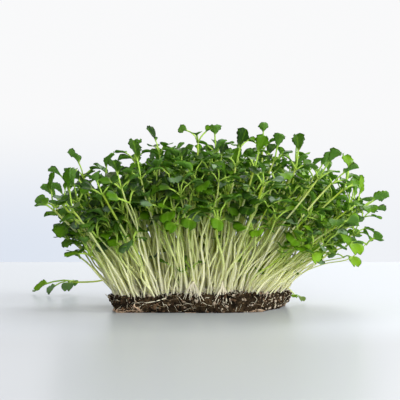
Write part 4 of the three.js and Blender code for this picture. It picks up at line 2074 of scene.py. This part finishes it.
    def fill_seedling(self, place: Place, draws: Draws, short: bool) -> Seedling:
        """Returns one random seedling for a place between the bunches.

        Args:
            place: The place.
            draws: The random numbers.
            short: True for one that stays low, with small seed leaves alone.

        Returns:
            The seedling.
        """
        scatter = np.array([draws.between(self.fill_scatter), draws.between(self.fill_scatter)])
        lean = place.lean * draws.between(self.fill_lean_gain) + scatter
        size = draws.between(self.short_size if short else self.fill_size) * self.rule.gain(place.u)
        front = float(smooth_step(-place.v, 0.3, 1.0))
        corner = front * float(smooth_step(place.u, 0.1, 0.8))
        size *= 1 - self.fill_front_loss * front - self.fill_corner_loss * corner
        size *= 1 - self.fill_end_loss[int(place.u > 0)] * float(smooth_step(abs(place.u), 0.5, 1.0))
        size *= 1 + self.fill_centre_gain * float(smooth_step(1 - abs(place.u + 0.1), 0.3, 1.0))
        stem = Stem(place.root, lean, self.rule.stem_length * size, draws.between(self.fill_sway))
        row = draws.between((0, 360))
        leaves = [self.rule.drawn_leaf(draws, SEED, row + side, FILL_LEAVES) for side in (0, 180)]
        if short:
            long, wide = self.short_leaf
            leaves = [
                replace(leaf, length=leaf.length * long, half_width=leaf.half_width * wide)
                for leaf in leaves
            ]
        elif draws.next() < self.true_leaf_share:
            azimuth = row + (90 if draws.next() < 0.5 else -90)
            leaves.append(self.rule.drawn_leaf(draws, TRUE, azimuth, FILL_LEAVES))
            if draws.next() < self.second_leaf_share:
                leaves.append(self.rule.drawn_leaf(draws, TRUE, azimuth + 180, FILL_LEAVES))
        thick = draws.between(self.fill_thick) * (self.short_thick if short else 1)
        return self.grown(stem, tuple(leaves), thick, self.fill_points, draws, self.fill_bends)

    def between_bunches(self, feet: Array) -> list[list[Seedling]]:
        """Fills the slab with seedlings, each the least crowded of a few draws.

        Args:
            feet: Where the bunches' stems leave the soil, which stays clear.

        Returns:
            The seedlings of each band from front to back.
        """
        bands: list[list[Seedling]] = [[] for _ in range(self.rule.rows)]
        number = 0
        for j in range(self.fill_deep):
            for i in range(self.fill_across):
                number += 1
                draws = Draws(FILL_SEED + number)
                u = self.edge_reach * (2 * (i + 0.5 * (j % 2) + 0.25) / self.fill_across - 1)
                v = self.edge_reach * (2 * (j + 0.5) / self.fill_deep - 1)
                u = max(-self.edge_reach, min(self.edge_reach, u + draws.between(self.fill_shift)))
                v = max(-self.edge_reach, min(self.edge_reach, v + draws.between(self.fill_shift_deep)))
                place = self.rule.place_at(number, u, v)
                foot = place.root + place.along * self.rule.root_depth / place.along[2]
                if np.linalg.norm(feet - foot, axis=1).min() < self.clear_of_feet:
                    continue
                short = draws.next() < self.short_share and -self.short_reach < u < 1.3 * self.short_reach
                tries = [self.fill_seedling(place, draws, short) for _ in range(self.fill_tries)]
                best = min(tries, key=lambda seedling: self.crowding.clashes(self.samples(seedling)))
                self.crowding.fill(self.samples(best))
                bands[min(self.rule.rows - 1, self.rule.rows * j // self.fill_deep)].append(best)
        return bands


@dataclass
class Dressing:
    """Turns seedlings into pieces of stems and pieces of leaves."""

    rule: GrowthRule
    tubes: TubeTree
    stem: Material
    leaf: Material

    def stems(self, name: str, seedlings: Sequence[Seedling], sides: int) -> Piece:
        """Returns the stems of seedlings as one piece.

        Args:
            name: Its name.
            seedlings: The seedlings.
            sides: How many sides a stem has.

        Returns:
            The piece.
        """
        lines = LineMaker()
        draws = Draws(sum(name.encode()))
        for seedling in seedlings:
            lines.add(seedling.line, seedling.radii, draws.next())
        return lines.make(name, self.tubes, sides, self.stem)

    def leaves(
        self,
        name: str,
        seedlings: Sequence[Seedling],
        forms: dict[LeafKind, LeafForm],
        tones: Pair = (0, 1),
    ) -> Piece:
        """Returns the leaves of seedlings as one piece, each of a tone between dark (0) and fresh (1).

        Args:
            name: Its name.
            seedlings: The seedlings.
            forms: The form of each kind of leaf.
            tones: The lowest and the highest tone.

        Returns:
            The piece.
        """
        maker = LeafMaker(self.rule, forms, tones)
        draws = Draws(sum(name.encode()))
        for seedling in seedlings:
            for leaf in seedling.leaves:
                maker.add(seedling.head, leaf, draws)
        piece = maker.parts.make(name)
        piece.data.materials.append(self.leaf)
        return piece


def keep(piece: Piece, slot: str, *replaced: str) -> None:
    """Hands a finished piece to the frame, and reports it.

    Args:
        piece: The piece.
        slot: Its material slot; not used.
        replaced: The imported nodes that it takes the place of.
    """
    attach(piece, BODY)
    if replaced:
        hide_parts(*replaced)
    LOG.info("%s: %d faces, replaces %d nodes", piece.name, len(piece.data.polygons), len(replaced))


@dataclass(frozen=True)
class Studio:
    """A camera level with the slab, a pale glossy table and soft white light."""

    camera_place: tuple[float, float, float] = (0.002, -0.600, 0.052)
    camera_tilt: float = 90.8
    lens: float = 96.4
    table_low: Pair = (-2.2, -1.6)
    table_high: Pair = (2.2, 0.585)
    table_colour: Colour = (0.515, 0.548, 0.595)
    # Painted shade: the darker colour of the table's front, and where it ramps in.
    table_painted_shade: Colour = (0.430, 0.450, 0.480)
    painted_shade_from: float = -0.085
    painted_shade_full_at: float = -0.180
    table_roughness: float = 0.28
    table_gloss: float = 0.3
    white: Colour = (0.945, 0.948, 0.955)
    low_left: Colour = (0.73, 0.785, 0.88)
    low_span: Pair = (-0.04, 0.1)
    left_span: Pair = (-0.18, 0.12)
    room_light: float = 0.52
    lit_place: Point = (0, 0, 0.05)
    lamps: tuple[tuple[str, Point, float, float, Colour], ...] = (
        ("back_lamp", (0.60, 1.20, 1.30), 1.0, 26.0, (1.0, 1.0, 0.98)),
        ("side_lamp", (1.90, -0.60, 0.80), 1.0, 42.0, (1.0, 0.99, 0.97)),
        ("front_lamp", (0.35, -1.30, 0.45), 0.7, 15.0, (1.0, 0.99, 0.96)),
    )

    def camera(self) -> None:
        """Sets up the camera."""
        data = bpy.data.cameras.new("camera")
        data.lens = self.lens
        data.clip_start = 0.01
        camera = placed("camera", data)
        camera.location = self.camera_place
        camera.rotation_euler = (math.radians(self.camera_tilt), 0, 0)
        bpy.context.scene.camera = camera

    def table(self) -> None:
        """Lays the table top, with painted shade that darkens it towards the front."""
        (left, front), (right, back) = self.table_low, self.table_high
        mesh = bpy.data.meshes.new("table")
        corners = [(left, front, 0), (right, front, 0), (right, back, 0), (left, back, 0)]
        mesh.from_pydata(corners, [], [(0, 1, 2, 3)])
        skin = Skin("table")
        nodes = skin.nodes
        # Painted shade: the table's colour darkens towards the camera, in front of the slab.
        farness = nodes.along(nodes.object_place(), "Y").between(self.painted_shade_full_at, self.painted_shade_from)
        colour = nodes.mix(farness, self.table_painted_shade, self.table_colour)
        gloss = self.table_gloss
        skin.dress(Base_Color=colour, Roughness=self.table_roughness, Specular_IOR_Level=gloss)
        mesh.materials.append(skin.material)
        placed("table", mesh)

    def lamp(self, name: str, place: Point, size: float, power: float, colour: Colour) -> None:
        """Hangs a soft square lamp that shines on the slab.

        Args:
            name: Its name.
            place: Where it hangs, in metres.
            size: The length of its side.
            power: Its power in watts.
            colour: Its light's colour.
        """
        data = bpy.data.lights.new(name, "AREA")
        data.size = size
        data.energy = power
        data.color = colour
        lamp = placed(name, data)
        lamp.location = place
        lamp.rotation_euler = (Vector(self.lit_place) - Vector(place)).to_track_quat("-Z", "Y").to_euler()

    def light(self) -> None:
        """Lights the scene with a white surrounding and soft lamps."""
        world = bpy.data.worlds.new("white_room")
        world.use_nodes = True
        background = world.node_tree.nodes["Background"]
        nodes = Nodes(world.node_tree)
        towards = nodes.add("ShaderNodeTexCoord").outputs["Generated"]
        lowness = 1 - nodes.along(towards, "Z").between(*self.low_span)
        leftness = 1 - nodes.along(towards, "X").between(*self.left_span)
        wall = nodes.mix(lowness * (leftness * 0.65 + 0.35), self.white, self.low_left)
        rays = nodes.add("ShaderNodeLightPath").outputs
        looked_at = Field(nodes, rays["Is Camera Ray"]).math("MAXIMUM", rays["Is Glossy Ray"])
        strength = looked_at * (1 - self.room_light) + self.room_light
        nodes.feed(background, {"Color": wall, "Strength": strength})
        bpy.context.scene.world = world
        for lamp in self.lamps:
            self.lamp(*lamp)
        bpy.context.scene.view_settings.view_transform = "Standard"


def main() -> None:
    """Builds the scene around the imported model."""
    logging.basicConfig(level=logging.INFO, format="%(name)s: %(message)s")
    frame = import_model()
    studio = Studio()
    studio.camera()
    rule = GrowthRule()
    dressing = Dressing(rule, TubeTree(), StemFinish().build(), LeafFinish().build())

    block = GrowingBlock(rule.block)
    body = block.body(SoilFinish().build())
    crumbs = block.crumbs(body, CrumbFinish().build())
    keep(body, "growing_medium", "growing_block")
    keep(crumbs, "growing_medium")

    canopy = Canopy(rule, frame["nodes"])
    rows = canopy.bunches()
    in_row = rule.bunches_in_row
    for k, seedlings in enumerate(rows):
        numbers = range(k * in_row + 1, (k + 1) * in_row + 1)
        stems = dressing.stems(f"row_{k + 1}_stems", seedlings, 8)
        keep(stems, "stem", *(f"bunch_{number:02d}_stems" for number in numbers))
        leaves = dressing.leaves(f"row_{k + 1}_leaves", seedlings, FINE_FORMS)
        keep(leaves, "leaf", *(f"bunch_{number:02d}_leaves" for number in numbers))

    feet = np.vstack([canopy.feet(seedlings) for seedlings in rows])
    bands = canopy.between_bunches(feet)
    for k, seedlings in enumerate(bands):
        keep(dressing.stems(f"band_{k + 1}_stems", seedlings, 6), "stem")
        keep(dressing.leaves(f"band_{k + 1}_leaves", seedlings, LIGHT_FORMS), "leaf")

    trailing, side = TRAILING_SPROUT.seedling(), SIDE_SPROUT.seedling()
    keep(dressing.stems("trailing_sprout_fine_stem", [trailing], 10), "stem", "trailing_sprout_stem")
    tones = (0.9, 1.3)
    leaves = dressing.leaves("trailing_sprout_fine_leaves", [trailing], LONG_STALK_FORMS, tones)
    keep(leaves, "leaf", "trailing_sprout_leaves")
    keep(dressing.stems("side_sprout_fine_stem", [side], 10), "stem")
    keep(dressing.leaves("side_sprout_fine_leaves", [side], FINE_FORMS, (1.1, 1.3)), "leaf", "side_sprout")

    outer = [sprout.seedling() for sprout in (*LOW_RIGHT_SPROUTS, *LEFT_SPROUTS, LONG_LEAF_SPROUT)]
    tall = [sprout.seedling() for sprout in TALL_SPROUTS]
    keep(dressing.stems("outer_stems", [*outer, *tall], 8), "stem")
    keep(dressing.leaves("outer_leaves", outer, FINE_FORMS), "leaf")
    keep(dressing.leaves("tall_leaves", tall, LONG_STALK_FORMS, (0.6, 1.2)), "leaf")

    surface = SoilSurface(body)
    roots = Roots(surface)
    white_root = RootFinish("white_root", (0.82, 0.77, 0.60), (0.36, 0.27, 0.16)).build()
    tan_root = RootFinish("tan_root", (0.74, 0.54, 0.37), (0.15, 0.08, 0.036)).build()
    keep(roots.white(dressing.tubes, white_root), "stem")
    keep(roots.mat(dressing.tubes, tan_root), "growing_medium")
    all_feet = np.vstack([feet, *(canopy.feet(seedlings) for seedlings in bands)])
    keep(roots.hairs(all_feet, dressing.tubes, white_root), "stem")

    studio.table()
    studio.light()


if __name__ == "__main__":
    main()
